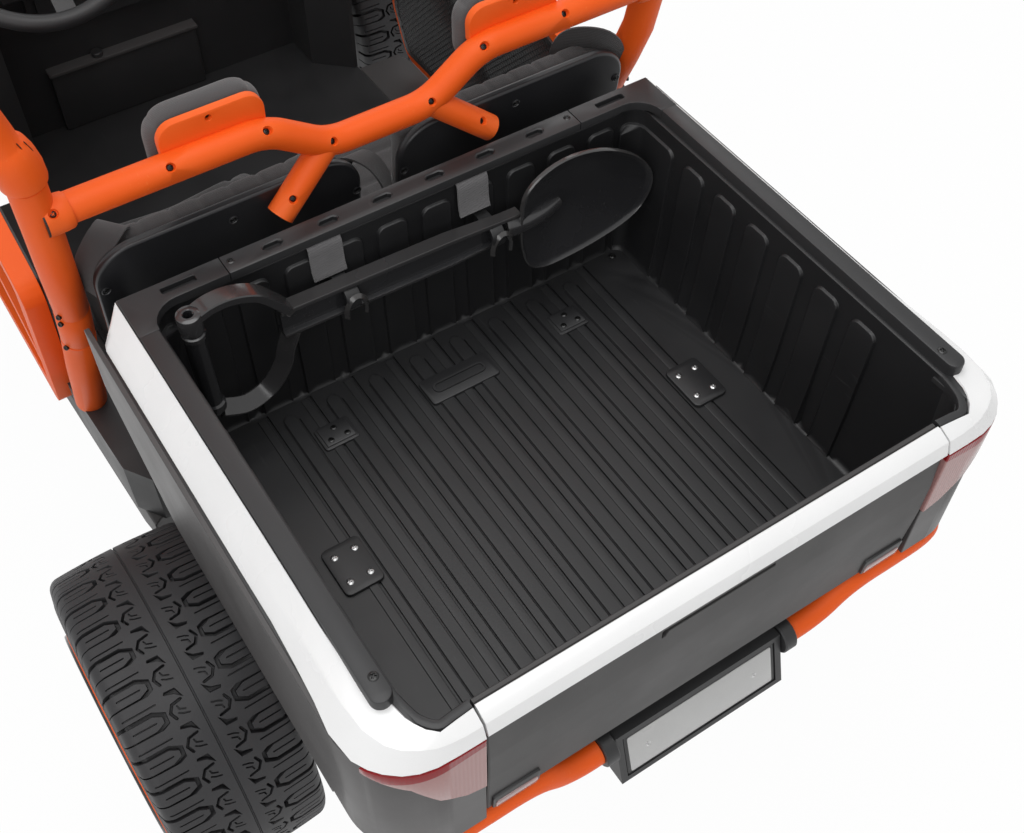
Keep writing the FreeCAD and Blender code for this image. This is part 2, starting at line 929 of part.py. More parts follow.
def make_crossbar():
    x = s.bar_x
    low = s.bar_z - s.bar_dip
    points = [
        (x, -s.bar_end_y, s.bar_z), (x, -s.bar_bend_y, s.bar_z), (x, -s.bar_dip_y, low),
        (x, s.bar_dip_y, low), (x, s.bar_bend_y, s.bar_z), (x, s.bar_end_y, s.bar_z),
    ]
    shapes = [tube_shape(points, s.bar_radius.value, 34)]
    for side in (1, -1):
        top = (x, side * (s.bar_dip_y + 2), low + 2)
        foot = (x - 12, side * s.brace_foot_y, s.brace_foot_z)
        shapes.append(rod_shape(top, foot, s.bar_radius - 0.5))
        shapes.append(Part.makeSphere(s.bar_radius.value - 0.5, numbers(foot)))
    near = s.seat_shell_y - s.seat_shell_wide / 2
    far = s.seat_shell_y + s.seat_shell_wide / 2
    seat = leaning(-s.run_gap, 30, s.seat_base_top, s.seat_shell_top + s.run_gap, near, far, 42)
    feature("crossbar", join(shapes).cut([seat, mirrored(seat)]))


POST_TOP = (s.bar_x, s.post_y + s.bar_radius, s.bar_z - 10)
POST_UPPER = (s.bar_x - 4, s.post_y + 30, s.bar_z + 112)
POST_END = (s.roof_rear_x - 14, s.roof_y + 14, s.cage_top - 32)


def make_posts():
    """The thick rear post: from its seat on the quarter block, forward-leaning, to its collar."""
    foot = (-108, s.post_y + 8, 285.6)
    knee = (-168, s.post_y + 4, 460)
    top = POST_TOP
    upper = POST_UPPER
    end = POST_END
    lower = tube_shape([foot, knee, top], s.post_radius.value, 220)
    collar_run = (numbers(top) - numbers(knee)).normalize()
    collar = Part.makeCylinder(s.collar_radius.value, s.collar_long.value,
                               numbers(top) - collar_run * 20, collar_run)
    high = tube_shape([top, upper, end], s.cage_radius.value, 60)
    post = join([lower, collar, high])
    bar = rod_shape((s.bar_x, 0, s.bar_z), (s.bar_x, s.bar_end_y + 0.3, s.bar_z), s.bar_radius + 0.3)
    foot_plane = Part.makeBox(200, 200, 60, numbers((foot[0] - 100, 200, foot[2] - 60)))
    pair("rear_posts", post.cut([bar, foot_plane]))


def make_roof():
    z = s.cage_top
    rear_corner = numbers((s.roof_rear_x, s.roof_y, z))
    front_corner = numbers((s.roof_front_x, s.roof_y, z))
    post_way = (numbers(POST_END) - numbers(POST_UPPER)).normalize()
    post_end = numbers(POST_END) + post_way * s.run_gap.value
    post_room = rod_shape(post_end - post_way * 90, post_end, s.cage_radius + 20)
    rail_start = numbers(POST_END) - post_way * 12
    foot = numbers((s.pillar_foot_x, s.cowl_outer - 42, s.cowl_top + 0.3))
    slope = (foot - front_corner).normalize()
    joint = front_corner + slope * 46
    rail = tube_shape([rail_start, rear_corner, front_corner, joint], s.cage_radius.value, 30)
    pair("roof_rails", rail.cut(post_room))
    pillar = rod_shape(foot + slope * 30, joint + slope * s.run_gap.value, s.cage_radius)
    collar_end = joint + slope * (s.run_gap.value + s.collar_long.value)
    collar = rod_shape(joint + slope * s.run_gap.value, collar_end, s.cage_radius + 5)
    floor = Part.makeBox(200, 200, 60, Vector(foot.x - 100, foot.y - 100, foot.z - 60))
    pair("front_pillars", join([pillar, collar]).cut(floor))
    bars = []
    for x in (s.roof_rear_x + 22, s.roof_front_x - 22):
        reach = s.roof_y - s.cage_radius - s.run_gap
        bars.append(rod_shape((x, -reach, z), (x, reach, z), s.cage_radius - 3))
    feature("roof_bars", Part.makeCompound(bars))


def make_headrests():
    half = s.headrest_wide / 2
    near = s.headrest_y - half
    far = s.headrest_y + half
    rear = s.bar_x + s.bar_radius + s.soft_gap
    pads = Part.makeBox(
        s.headrest_thick.value, s.headrest_wide.value,
        (s.headrest_top - s.headrest_low).value, numbers((rear, near, s.headrest_low)))
    corners = [edge for edge in pads.Edges if abs(edge.BoundBox.XLength - s.headrest_thick.value) < 0.01]
    pads = pads.makeFillet(34, corners)
    pair("headrest_pads", pads)
    plate_half = s.plate_wide / 2
    low = s.bar_z + s.bar_radius * 0.6
    plate = Part.makeBox(8, s.plate_wide.value, 36, numbers((rear - 8.3, s.headrest_y - plate_half, low)))
    corners = [edge for edge in plate.Edges
               if abs(edge.BoundBox.XLength - 8) < 0.01 and edge.CenterOfMass.z > low.value + 20]
    plate = plate.makeFillet(22, corners)
    bar = rod_shape((s.bar_x, 0, s.bar_z), (s.bar_x, s.bar_end_y, s.bar_z), s.bar_radius + 0.3)
    pair("headrest_plates", plate.cut(bar))


make_crossbar()
make_posts()
make_roof()
make_headrests()

# Quarter blocks under the posts, behind the seats


def make_quarters():
    near = s.floor_half + s.run_gap
    low = floor_top + 0.0
    block_top = 285.3
    lower = solid_of([
        (-72, near), (-72, s.cowl_outer), (-215, s.cowl_outer - 6),
        (-246, 304), (-246, near),
    ], "XY", low, block_top)
    upper = solid_of([
        (-95, block_top - 2), (-246, block_top - 2), (-268, 380), (-268, 545),
        (-248, 545), (-208, 312),
    ], "XZ", near, 284)
    pair("quarters", join([lower, upper]))


make_quarters()

# Doors: frame with bracing bars, mesh panel, hinge on the outer front edge


door_hinge_x = s.door_front_x + 6
door_hinge_y = s.door_y + s.door_thick + 2


def make_door(label, side):
    near, far = span(side, s.door_y, s.door_y + s.door_thick)
    bar = s.door_bar
    outline = [
        (s.door_rear_x, s.door_low, 30),
        (s.door_front_x - 34, s.door_low, 30),
        (s.door_front_x, s.door_low + 70, 30),
        (s.door_front_x, s.door_high - 20, 22),
        (s.door_front_x - 60, s.door_high, 22),
        (s.door_front_x - 230, s.door_high, 40),
        (s.door_rear_x - 70, s.door_low + 240, 26),
    ]
    inner = [
        (s.door_rear_x + bar - 4, s.door_low + bar, 16),
        (s.door_front_x - 46, s.door_low + bar, 16),
        (s.door_front_x - bar, s.door_low + 78, 16),
        (s.door_front_x - bar, s.door_high - bar - 12, 10),
        (s.door_front_x - 66, s.door_high - bar, 10),
        (s.door_front_x - 224, s.door_high - bar, 22),
        (s.door_rear_x - 70 + bar + 8, s.door_low + 240 - 14, 10),
    ]
    host = new_body(label)
    pad(host, "XZ", [outline, inner], near, far)
    rest_in, rest_out = span(side, s.door_y + 3, s.door_y + s.door_thick - 3)
    diagonal = [
        (s.door_rear_x + bar - 14, s.door_low + bar + 10),
        (s.door_rear_x + bar + 10, s.door_low + bar - 4),
        (s.door_front_x - bar + 6, s.door_high - bar - 36),
        (s.door_front_x - bar + 6, s.door_high - bar - 2),
    ]
    pad(host, "XZ", [diagonal], rest_in, rest_out)
    for low in (s.door_high - 150, s.door_high - 60):
        barrel = [("round", door_hinge_x, side * door_hinge_y, s.hinge_radius)]
        pad(host, "XY", barrel, low, low + s.barrel_high)
        strap_in, strap_out = span(side, door_hinge_y - 5, door_hinge_y)
        strap = rectangle(s.door_front_x - 10, strap_in, door_hinge_x, strap_out)
        pad(host, "XY", [strap], low, low + s.barrel_high)
    panel = new_body(label.replace("door", "door_mesh"))
    panel_in, panel_out = span(side, s.door_y - s.mesh_thick - 0.3, s.door_y - 0.3)
    cover = [
        (s.door_rear_x + bar / 2, s.door_low + bar / 2, 16),
        (s.door_front_x - 40, s.door_low + bar / 2, 16),
        (s.door_front_x - bar / 2, s.door_low + 74, 16),
        (s.door_front_x - bar / 2, s.door_high - bar / 2 - 14, 10),
        (s.door_front_x - 64, s.door_high - bar / 2, 10),
        (s.door_front_x - 226, s.door_high - bar / 2, 22),
        (s.door_rear_x - 70 + bar / 2 + 6, s.door_low + 240 - 6, 10),
    ]
    pad(panel, "XZ", [cover], panel_in, panel_out)


make_door("door_left", 1)
make_door("door_right", -1)

# Front body: cowls, dash, column and wheel, bonnet, nose, fenders, grille, lamps


def make_cowls():
    near = s.floor_half + s.run_gap
    post = solid_of([
        (s.door_front_x + 5, s.cowl_low), (s.fender_rear_x - 0.3, s.cowl_low),
        (s.fender_rear_x - 0.3, s.cowl_low + 148), (s.fender_rear_x + 20, s.cowl_low + 170),
        (s.fender_rear_x + 20, s.cowl_top),
        (s.door_front_x + 5, s.cowl_top),
    ], "XZ", near, s.cowl_outer)
    ears = []
    x = door_hinge_x
    y = door_hinge_y
    for drop in (150, 60):
        low = s.door_high - drop + s.barrel_high + s.run_gap
        ear = rod_shape((x, y, low), (x, y, low + 12), s.hinge_radius)
        strap = Part.makeBox(14, 19, 12, numbers((x + 2, y - 17, low)))
        ears.append(ear.fuse(strap))
    pair("cowls", join([post] + ears))


def make_dash():
    half = s.floor_half - 1
    rear = s.firewall_x + 22
    profile = [
        (392, s.firewall_top + 0.3),
        (378, 540, 14),
        (398, 592, 16),
        (440, 604, 10),
        (rear, 588),
        (rear, s.firewall_top + 0.3),
    ]
    host = slab("dash", "XZ", profile, -half, half)
    over_fender = rectangle(s.fender_rear_x - s.run_gap, s.firewall_top - 1, rear + 1, 539)
    for side in (1, -1):
        near, far = span(side, nose_half - s.run_gap, half + 1)
        pocket(host, "XZ", [over_fender], near, far)
    socket = rectangle(362, 465, s.firewall_x - wall - s.run_gap, s.firewall_top + 4, 6)
    pad(host, "XZ", [socket], s.wheel_y - 36, s.wheel_y + 36)


WHEEL_CENTRE = (262, s.wheel_y, 618)
COLUMN_TILT = 50


def make_steering():
    rim_radius = 111
    rim = Part.makeTorus(rim_radius, 9.5)
    hub = Part.makeCylinder(26, 18, Vector(0, 0, -22))
    spokes = []
    for angle in (90, 210, 330):
        spoke = Part.makeBox(rim_radius - 18, 22, 6, Vector(16, -11, -12))
        lean = Placement(Vector(0, 0, 0), Rotation(Vector(0, 0, 1), angle))
        spoke.Placement = lean
        spokes.append(spoke)
    whole = join([rim, hub] + spokes)
    turn = Rotation(Vector(0, 1, 0), -(90 - COLUMN_TILT)).multiply(Rotation(Vector(0, 0, 1), 90))
    whole.Placement = Placement(numbers(WHEEL_CENTRE), turn)
    feature("steering_wheel", whole)
    axis = turn.multVec(Vector(0, 0, 1))
    start = numbers(WHEEL_CENTRE) - axis * 22.4
    column = Part.makeCylinder(13, 220, start, axis * -1)
    cover = Part.makeCone(20, 30, 70, start - axis * 30, axis * -1)
    dash_body = [item for item in MADE if item.Label == "dash"][0]
    wall_body = [item for item in MADE if item.Label == "footwell"][0]
    shape = join([column, cover]).cut([dash_body.Shape, wall_body.Shape])
    solids = sorted(shape.Solids, key=lambda part: part.CenterOfMass.x)
    feature("steering_column", solids[0])


def make_bonnet():
    host = new_body("bonnet")
    rear = s.firewall_x + 22.3
    outer = [
        (rear, s.nose_top + 0.3),
        (rear, s.bonnet_rear_top, 12),
        (rear + 110, s.bonnet_rear_top - 8, 60),
        (s.nose_front_x - 60, s.bonnet_mid_top - 14, 60),
        (s.nose_front_x, s.bonnet_front_top, 22),
        (s.nose_front_x, s.nose_top + 0.3),
    ]
    pad(host, "XZ", [outer], -nose_half, nose_half)
    inner = [
        (rear + wall, s.nose_top - 1),
        (rear + wall, s.bonnet_rear_top - wall - 4, 8),
        (rear + 108, s.bonnet_rear_top - 8 - wall, 50),
        (s.nose_front_x - 62, s.bonnet_mid_top - 15 - wall, 50),
        (s.nose_front_x - wall, s.bonnet_front_top - wall - 2, 16),
        (s.nose_front_x - wall, s.nose_top - 1),
    ]
    pocket(host, "XZ", [inner], -nose_half + wall, nose_half - wall)


def make_nose():
    host = new_body("nose")
    low = floor_low + 0.3
    rear = s.firewall_x + s.run_gap
    outer = rectangle(rear, -nose_half, s.nose_front_x, nose_half, 8)
    pad(host, "XY", [outer], low, s.nose_top)
    inner = rectangle(rear + wall, -nose_half + wall, s.nose_front_x - wall, nose_half - wall)
    pocket(host, "XY", [inner], low + wall, s.nose_top + 1)


def make_fenders():
    near = nose_half + 0.3
    top = [
        (s.fender_rear_x, s.cowl_low - 14),
        (s.fender_rear_x, 500),
        (s.fender_rear_x + 36, 538),
        (s.front_axle_x + 50, 528),
        (s.nose_front_x - 30, 452),
        (s.fender_front_x, 392),
        (s.fender_front_x, 284),
        (s.front_axle_x, 284),
    ]
    skin = 5
    inner = [
        (s.fender_rear_x + skin, 200),
        (s.fender_rear_x + skin, 497),
        (s.fender_rear_x + 38, 532),
        (s.front_axle_x + 49, 522),
        (s.nose_front_x - 33, 448),
        (s.fender_front_x - skin, 389),
        (s.fender_front_x - skin, 200),
    ]
    whole = solid_of(top, "XZ", near, s.fender_outer)
    edges = [edge for edge in whole.Edges
             if edge.CenterOfMass.y > s.fender_outer.value - 1 and edge.CenterOfMass.z > 400]
    whole = whole.makeFillet(16, edges)
    hollow = solid_of(inner, "XZ", near + skin, s.fender_outer - 17)
    arch = rod_shape((s.front_axle_x, near - 5, AXLE_Z), (s.front_axle_x, s.fender_outer + 5, AXLE_Z),
                     s.arch_radius)
    pair("front_fenders", whole.cut([hollow, arch]))


def make_grille():
    host = new_body("grille")
    front = s.nose_front_x + s.run_gap
    low = floor_low + 22
    outline = [
        (-nose_half, low + 40), (-nose_half + 30, low), (nose_half - 30, low),
        (nose_half, low + 40), (nose_half, s.bonnet_front_top - 20),
        (nose_half - 20, s.bonnet_front_top - 6), (-nose_half + 20, s.bonnet_front_top - 6),
        (-nose_half, s.bonnet_front_top - 20),
    ]
    pad(host, "YZ", [outline], front, front + s.grille_thick)
    slots = []
    for i in range(7):
        middle = -105 + 35 * i
        slots.append(rectangle(middle - 10, 304, middle + 10, 352, 6))
    pocket(host, "YZ", slots, front + 4, front + s.grille_thick + 1)
    front_face = front + s.grille_thick
    lens = [(112, 396, 6), (196, 404, 6), (206, 436, 6), (120, 430, 6)]
    points = [Vector((front_face + 0.3).value, y, z) for y, z, _ in lens]
    points.append(points[0])
    lamp = Part.Face(Part.makePolygon(points)).extrude(Vector(s.lamp_thick.value, 0, 0))
    corners = [edge for edge in lamp.Edges if edge.CenterOfMass.x > (front_face + 1).value]
    pair("headlamps", lamp.makeFillet(4, corners))


def make_front_bumper():
    x = s.front_bumper_x
    y = s.front_bumper_half
    z = s.front_bumper_top
    low = s.rail_low + s.rail_high / 2
    hoop = tube_shape([
        (s.frame_front_x + 0.3, -y, low), (x, -y, low), (x, -y, z),
        (x, y, z), (x, y, low), (s.frame_front_x + 0.3, y, low),
    ], s.bumper_radius.value, 24)
    bar = rod_shape((x, -y, z - 78), (x, y, z - 78), s.bumper_radius - 3)
    feature("front_bumper", join([hoop, bar]))


make_cowls()
make_dash()
make_steering()
make_bonnet()
make_nose()
make_fenders()
make_grille()
make_front_bumper()

# Load bed: liner, strip on the front wall, white caps, grey sides

bed_top = s.bed_floor_z + s.bed_deep
rim_half = s.bed_half + s.bed_draft
lip_out = rim_half + s.lip_wide
liner_low = s.bed_floor_z - s.liner_wall


def make_liner():
    host = new_body("bed_liner")
    lw = s.liner_wall
    section = [
        (-lip_out, bed_top),
        (-lip_out, bed_top - lw - 5),
        (-rim_half - lw, bed_top - lw - 5),
        (-s.bed_half - lw, liner_low, 8),
        (s.bed_half + lw, liner_low, 8),
        (rim_half + lw, bed_top - lw - 5),
        (lip_out, bed_top - lw - 5),
        (lip_out, bed_top),
        (rim_half + 3, bed_top),
        (rim_half + 3, bed_top - 5),
        (rim_half, bed_top - 6),
        (s.bed_half, s.bed_floor_z, 7),
        (-s.bed_half, s.bed_floor_z, 7),
        (-rim_half, bed_top - 6),
        (-rim_half - 3, bed_top - 5),
        (-rim_half - 3, bed_top),
    ]
    pad(host, "YZ", [section], bed_rear, s.bed_front_x)
    front = [
        (-s.bed_half - lw, liner_low, 8),
        (s.bed_half + lw, liner_low, 8),
        (rim_half + lw, bed_top - s.strip_thick),
        (-rim_half - lw, bed_top - s.strip_thick),
    ]
    pad(host, "YZ", [front], s.bed_front_x - 0.5, s.bed_front_x + lw)
    ribs = []
    for i in range(8):
        middle = s.rib_step * (i - 3.5)
        ribs.append(rectangle(bed_rear + 1, middle - 7.5, s.bed_front_x - 19, middle + 7.5, 7.2))
    pad(host, "XY", ribs, s.bed_floor_z - 1, s.bed_floor_z + 1.6)
    channels = []
    for i in range(9):
        middle = s.rib_step * (i - 4)
        channels.append(rectangle(bed_rear + 1, middle - 1.3, s.bed_front_x - 9, middle + 1.3))
    pocket(host, "XY", channels, s.bed_floor_z - 2.4, s.bed_floor_z + 1)


def make_strip():
    """The cover on the front wall, with its row of slots and a long slot at each end."""
    host = new_body("bed_strip")
    back = s.bed_front_x - 3
    front = back + s.strip_wide
    step = s.bed_front_x + s.run_gap
    outline = [
        (back, -rim_half + 1), (back, rim_half - 1), (step, rim_half - 1), (step, lip_out),
        (front, lip_out), (front, -lip_out), (step, -lip_out), (step, -rim_half + 1),
    ]
    pad(host, "XY", [outline], bed_top - s.strip_thick, bed_top)
    slots = []
    for i in range(6):
        middle = -141.5 + 56.6 * i
        slots.append(rectangle(back + 8, middle - 11, back + 16, middle + 11, 3.5))
    for side in (1, -1):
        middle = side * 232
        slots.append(rectangle(back + 9, middle - 17, back + 17, middle + 17, 2))
    pocket(host, "XY", slots, bed_top - 5, bed_top + 1)


def make_caps():
    """White moulding over each side wall, round the corner to the tailgate."""
    near = lip_out + s.run_gap
    outer = near + s.cap_wide
    front = s.bed_front_x + 27
    rear_in = tail_x + 18
    rear_out = tail_x - 2
    edge_y = s.gate_half + s.gate_gap
    host = new_body("bed_cap_left")
    outline = [
        (front, near), (front, outer, 18), (rear_out, outer, s.corner_round),
        (rear_out, edge_y), (rear_in, edge_y), (rear_in, near, 20),
    ]
    pad(host, "XY", [outline], bed_top - s.cap_high, bed_top + 2)
    drop = bed_top - s.gate_top
    slope = [
        (rear_out - 5, bed_top + 3), (rear_out - 5, bed_top - drop),
        (rear_in + 4, bed_top - drop), (rear_in + 60, bed_top + 2), (rear_in + 60, bed_top + 3),
    ]
    pocket(host, "XZ", [slope], s.gate_half - 5, outer + 5)
    both_sides("bed_caps", host)


lamp_front = tail_x + s.lamp_wrap
side_top = bed_top - s.cap_high - s.run_gap


def lamp_outline(gap):
    """The lamp seen from behind: deep beside the tailgate, and drawn up to a point round the corner."""
    near = s.gate_half + s.gate_gap
    return [
        (near - 5, s.lamp_low + gap), (near + 18, s.lamp_low + 8 + gap),
        (near + 40, s.lamp_low + 27 + gap), (near + 60, s.lamp_low + 60 + gap),
        (s.side_y + 5, side_top - 4 + gap), (s.side_y + 5, side_top + 5), (near - 5, side_top + 5),
    ]


def side_outline(start_x, thick, proud):
    outer = s.side_y + proud
    rear = tail_x - proud
    edge_y = s.gate_half + s.gate_gap
    return [
        (start_x, outer), (rear, outer, s.corner_round), (rear, edge_y),
        (rear + thick, edge_y), (rear + thick, outer - thick, s.corner_round - thick),
        (start_x, outer - thick),
    ]


def make_bed_sides():
    top = side_top
    host = new_body("bed_side_left")
    front = s.bed_front_x + 38
    pad(host, "XY", [side_outline(front, wall, 0)], s.side_low, top)
    low = s.gate_half - 5
    high = s.side_y + 5
    slope = [
        (front + 5, s.side_low - 5), (front + 5, s.side_low + 92),
        (front - 120, s.side_low + 2), (front - 120, s.side_low - 5),
    ]
    pocket(host, "XZ", [slope], low, high)
    pocket(host, "YZ", [lamp_outline(0)], tail_x - 5, lamp_front + s.run_gap)
    lip = rectangle(tail_x - 5, s.side_low - 5, tail_x + 90, s.corner_low)
    pocket(host, "XZ", [lip], low, high)
    both_sides("bed_sides", host)


def make_tail_lamps():
    host = new_body("tail_lamp_left")
    beyond = tail_x + s.corner_round + 6
    outline = side_outline(beyond, wall + 3, 2)
    pad(host, "XY", [outline], s.lamp_low - 10, side_top)
    ahead = rectangle(lamp_front, s.gate_half, beyond + 5, s.side_y + 5)
    pocket(host, "XY", [ahead], s.lamp_low - 15, side_top + 5)
    under = lamp_outline(0.3)
    edge = [under[0], under[1], under[2], under[3], under[4]]
    edge += [(s.side_y + 5, s.lamp_low - 15), (s.gate_half - 3, s.lamp_low - 15)]
    pocket(host, "YZ", [edge], tail_x - 10, lamp_front + 5)
    both_sides("tail_lamps", host)


make_liner()
make_strip()
make_caps()
make_bed_sides()
make_tail_lamps()

# Tail: tailgate with its white cap, panel under it, plate holder, bumper, tub


def make_tailgate():
    inner = tail_x + s.gate_thick
    fold = s.gate_top - s.gate_cap_high
    rear_in = tail_x + 18
    gate = [
        (inner, s.gate_low), (inner, s.gate_top - 1), (rear_in + 0.3, s.gate_top - 1),
        (rear_in + 0.3, fold), (tail_x, fold), (tail_x, s.gate_low),
    ]
    host = slab("tailgate", "XZ", gate, -s.gate_half, s.gate_half)
    grip = rectangle(-82, fold - 14, 82, fold - 5, 4)
    pocket(host, "YZ", [grip], tail_x - 1, tail_x + 7)
    for side in (1, -1):
        near, far = span(side, s.hinge_y, s.hinge_y + s.hinge_wide)
        notch = rectangle(tail_x - 1, s.gate_low - 1, gate_hinge_x + 11, gate_hinge_z + 10)
        pocket(host, "XZ", [notch], near, far)
        pin = [("round", gate_hinge_x, gate_hinge_z, s.gate_pin)]
        pad(host, "XZ", pin, near - 2, far + 2)
    cap = [
        (rear_in, fold + 0.3), (rear_in, s.gate_top), (rear_in - 3, s.gate_top),
        (tail_x - 1, fold + 4), (tail_x - 1, fold + 0.3),
    ]
    slab("tailgate_cap", "XZ", cap, -s.gate_half, s.gate_half)


def make_rear_panel():
    half = s.gate_half + s.gate_gap - 0.3
    top = s.gate_low - s.gate_drop
    low = top - 10
    face = bed_rear - s.run_gap
    profile = [
        (tail_x, low, 2), (tail_x, top), (face, top), (face, liner_low),
        (face - wall, liner_low), (face - wall, top - wall), (tail_x + wall, top - wall),
        (tail_x + wall, low, 2),
    ]
    host = slab("rear_panel", "XZ", profile, -half, half)
    ear = s.hinge_radius - 0.4
    for side in (1, -1):
        near, far = span(side, s.hinge_y + 1, s.hinge_y + s.hinge_wide - 1)
        neck = rectangle(gate_hinge_x - ear, top - 2, gate_hinge_x + ear, gate_hinge_z)
        pad(host, "XZ", [neck], near, far)
        pad(host, "XZ", [("round", gate_hinge_x, gate_hinge_z, ear)], near, far)
        hole = [("round", gate_hinge_x, gate_hinge_z, s.gate_pin + s.run_gap)]
        pocket(host, "XZ", hole, near - 1, far + 1)


def make_plate_holder():
    """The blank plate's box between the ends of the bumper tubes, its face tilted up."""
    low = s.holder_low.value
    high = low + s.holder_high.value
    foot = numbers((tail_x - s.holder_proud, 0, low))
    head = numbers((tail_x + s.holder_tilt, 0, high))
    rear = (tail_x + 30).value
    half = s.holder_half.value
    box = solid_of([(foot.x, low), (head.x, high), (rear, high), (rear, low + 16), (rear - 16, low)],
                   "XZ", -half, half)
    up = (head - foot).normalize()
    lean = Rotation(Vector(0, 1, 0), math.degrees(math.atan2(up.x, up.z)))
    tall = (head - foot).Length
    recess = Part.makeBox(4, 2 * half - 14, tall - 11)
    recess.Placement = Placement(foot + up * 5.5 + lean.multVec(Vector(-2, 7 - half, 0)), lean)
    holes = []
    for side in (1, -1):
        hole = Part.makeCylinder(2.5, 16, Vector(-2, 0, 0), Vector(1, 0, 0))
        hole.Placement = Placement(foot + up * (tall / 2) + Vector(0, side * 60, 0), lean)
        holes.append(hole)
    feature("plate_holder", box.cut([recess] + holes))


def make_rear_bumper():
    x = rear_bumper_x
    z = s.rear_bumper_z
    high = z + s.rear_bumper_rise
    tube = tube_shape([
        (x + 74, -292, high + 4), (x, -272, high), (x, -114, z), (x, 114, z),
        (x, 272, high), (x + 74, 292, high + 4),
    ], s.bumper_radius.value, 22)
    middle = Part.makeBox(80, 2 * s.holder_half.value + 2, 80,
                          numbers((x - 40, -s.holder_half - 1, z - 40)))
    feature("rear_bumper", tube.cut(middle))


def make_bumper_brackets():
    """Black collars on the ends of the bumper tubes, with arms back to the frame's end member."""
    x = rear_bumper_x
    z = s.rear_bumper_z
    ring = s.bumper_radius + 5
    near = s.holder_half + s.run_gap
    collar = rod_shape((x, near, z), (x, near + 14, z), ring)
    arm = Part.makeBox((frame_rear_x - x).value + 14 - ring.value, 14, 20,
                       numbers((x + ring - 14, near, z - 10)))
    stem = Part.makeBox(16, 14, (z - rear_rail_top).value + 10,
                        numbers((frame_rear_x - 16.3, near, rear_rail_top - 20)))
    bore = rod_shape((x, near - 5, z), (x, near + 19, z), s.bumper_radius + 0.3)
    pair("bumper_brackets", join([collar, arm, stem]).cut(bore))


def make_tub():
    host = new_body("bed_tub")
    low = rear_rail_top
    top = liner_low - s.run_gap
    front = s.bed_front_x + 20
    rear = frame_rear_x + 1
    pad(host, "XY", [rectangle(rear, -s.tub_half, front, s.tub_half, 12)], low, top)
    inside = rectangle(rear + s.tub_wall, -s.tub_half + s.tub_wall,
                       front - s.tub_wall, s.tub_half - s.tub_wall)
    pocket(host, "XY", [inside], low - 1, top - s.tub_wall)


make_tailgate()
make_rear_panel()
make_plate_holder()
make_rear_bumper()
make_bumper_brackets()
make_tub()

# Shovel on the front wall, in two clips


def make_shovel():
    x = s.shovel_x
    z = s.shovel_z
    radius = s.shaft_radius
    shaft = rod_shape((x, -96, z - 4), (x, 158, z + 4), radius)
    handle = tube_shape([
        (x, 150, z + 4), (x - 2, 176, z + 40), (x - 4, 226, z + 42),
        (x - 6, 238, z - 30), (x - 6, 190, z - 46), (x, 152, z - 2),
    ], 7, 10)
    blade_face = [
        (-92, z - 22), (-98, z + 30), (-150, z + 62), (-205, z + 66), (-248, z + 44),
        (-258, z + 8), (-236, z - 36), (-190, z - 70), (-138, z - 82), (-108, z - 62),
    ]
    blade = solid_of(blade_face, "YZ", x - 5, x - 1)
    shell = join([shaft, blade, handle])
    feature("shovel", shell)


def make_clips():
    solids = []
    for y in (90, -70):
        z = s.shovel_z.value - 4 + 8 * (y + 96) / 254
        ring = rod_shape((s.shovel_x, y - 7, z), (s.shovel_x, y + 7, z), s.shaft_radius + 5)
        back = Part.makeBox((s.bed_front_x - s.shovel_x).value - 0.8, 14, 20,
                            numbers((s.shovel_x, y - 7, z - 10)))
        bore = rod_shape((s.shovel_x, y - 12, z), (s.shovel_x, y + 12, z), s.shaft_radius + 0.3)
        solids.append(ring.fuse(back).cut(bore))
    feature("shovel_clips", Part.makeCompound(solids))


make_shovel()
make_clips()


def make_webbing():
    """Two straps that hang over the front wall, and a belt over each seat's outer corner."""
    solids = []
    for y in (97, -62):
        low = numbers((s.bed_front_x - 6, y - 17, s.shovel_z + 13))
        solids.append(Part.makeBox(2.5, 34, (bed_top - s.strip_thick - 0.5).value - low.z, low))
    belt = Part.makeBox(52, 30, 2.5, numbers((s.seat_shell_top_x + 2, 238, s.seat_shell_top + 1.8)))
    feature("webbing", Part.makeCompound(solids + [belt, mirrored(belt)]))


make_webbing()

# Checks, then one file for each piece

doc.recompute()
for item in doc.Objects:
    if "Invalid" in item.State or "Error" in item.State:
        raise RuntimeError("failed: " + item.Label)
os.makedirs("parts", exist_ok=True)
for piece in MADE:
    shape = piece.Shape
    if shape.isNull() or not shape.isValid() or not shape.Solids:
        raise RuntimeError("bad shape: " + piece.Label)
    shape.exportStep(os.path.join("parts", piece.Label + ".step"))
    print(piece.Label, len(shape.Solids), round(shape.Volume))
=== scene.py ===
import math

import bmesh
import bpy
import numpy as np
from mathutils import Matrix, Vector
from mathutils.geometry import delaunay_2d_cdt


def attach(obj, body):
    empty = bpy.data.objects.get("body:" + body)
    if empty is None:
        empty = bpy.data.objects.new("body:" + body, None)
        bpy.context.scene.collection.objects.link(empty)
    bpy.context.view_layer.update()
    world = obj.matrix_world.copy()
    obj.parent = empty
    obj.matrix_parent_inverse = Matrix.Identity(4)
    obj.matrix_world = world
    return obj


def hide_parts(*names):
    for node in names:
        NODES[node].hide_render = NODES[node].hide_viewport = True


# Looks of the two-seat ride-on side-by-side. Lengths here are in millimetres, and MM turns them
# into metres when a mesh is made. X points forward, Y to the left side, Z up.

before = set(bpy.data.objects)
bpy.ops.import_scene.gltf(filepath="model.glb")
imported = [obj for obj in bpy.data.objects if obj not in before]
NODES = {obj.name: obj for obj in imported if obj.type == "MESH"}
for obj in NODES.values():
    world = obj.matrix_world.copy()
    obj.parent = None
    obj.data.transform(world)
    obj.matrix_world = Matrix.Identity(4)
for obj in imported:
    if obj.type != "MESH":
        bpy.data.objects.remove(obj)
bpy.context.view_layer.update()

MM = 0.001
UP = (0, 0, 1)

# Camera

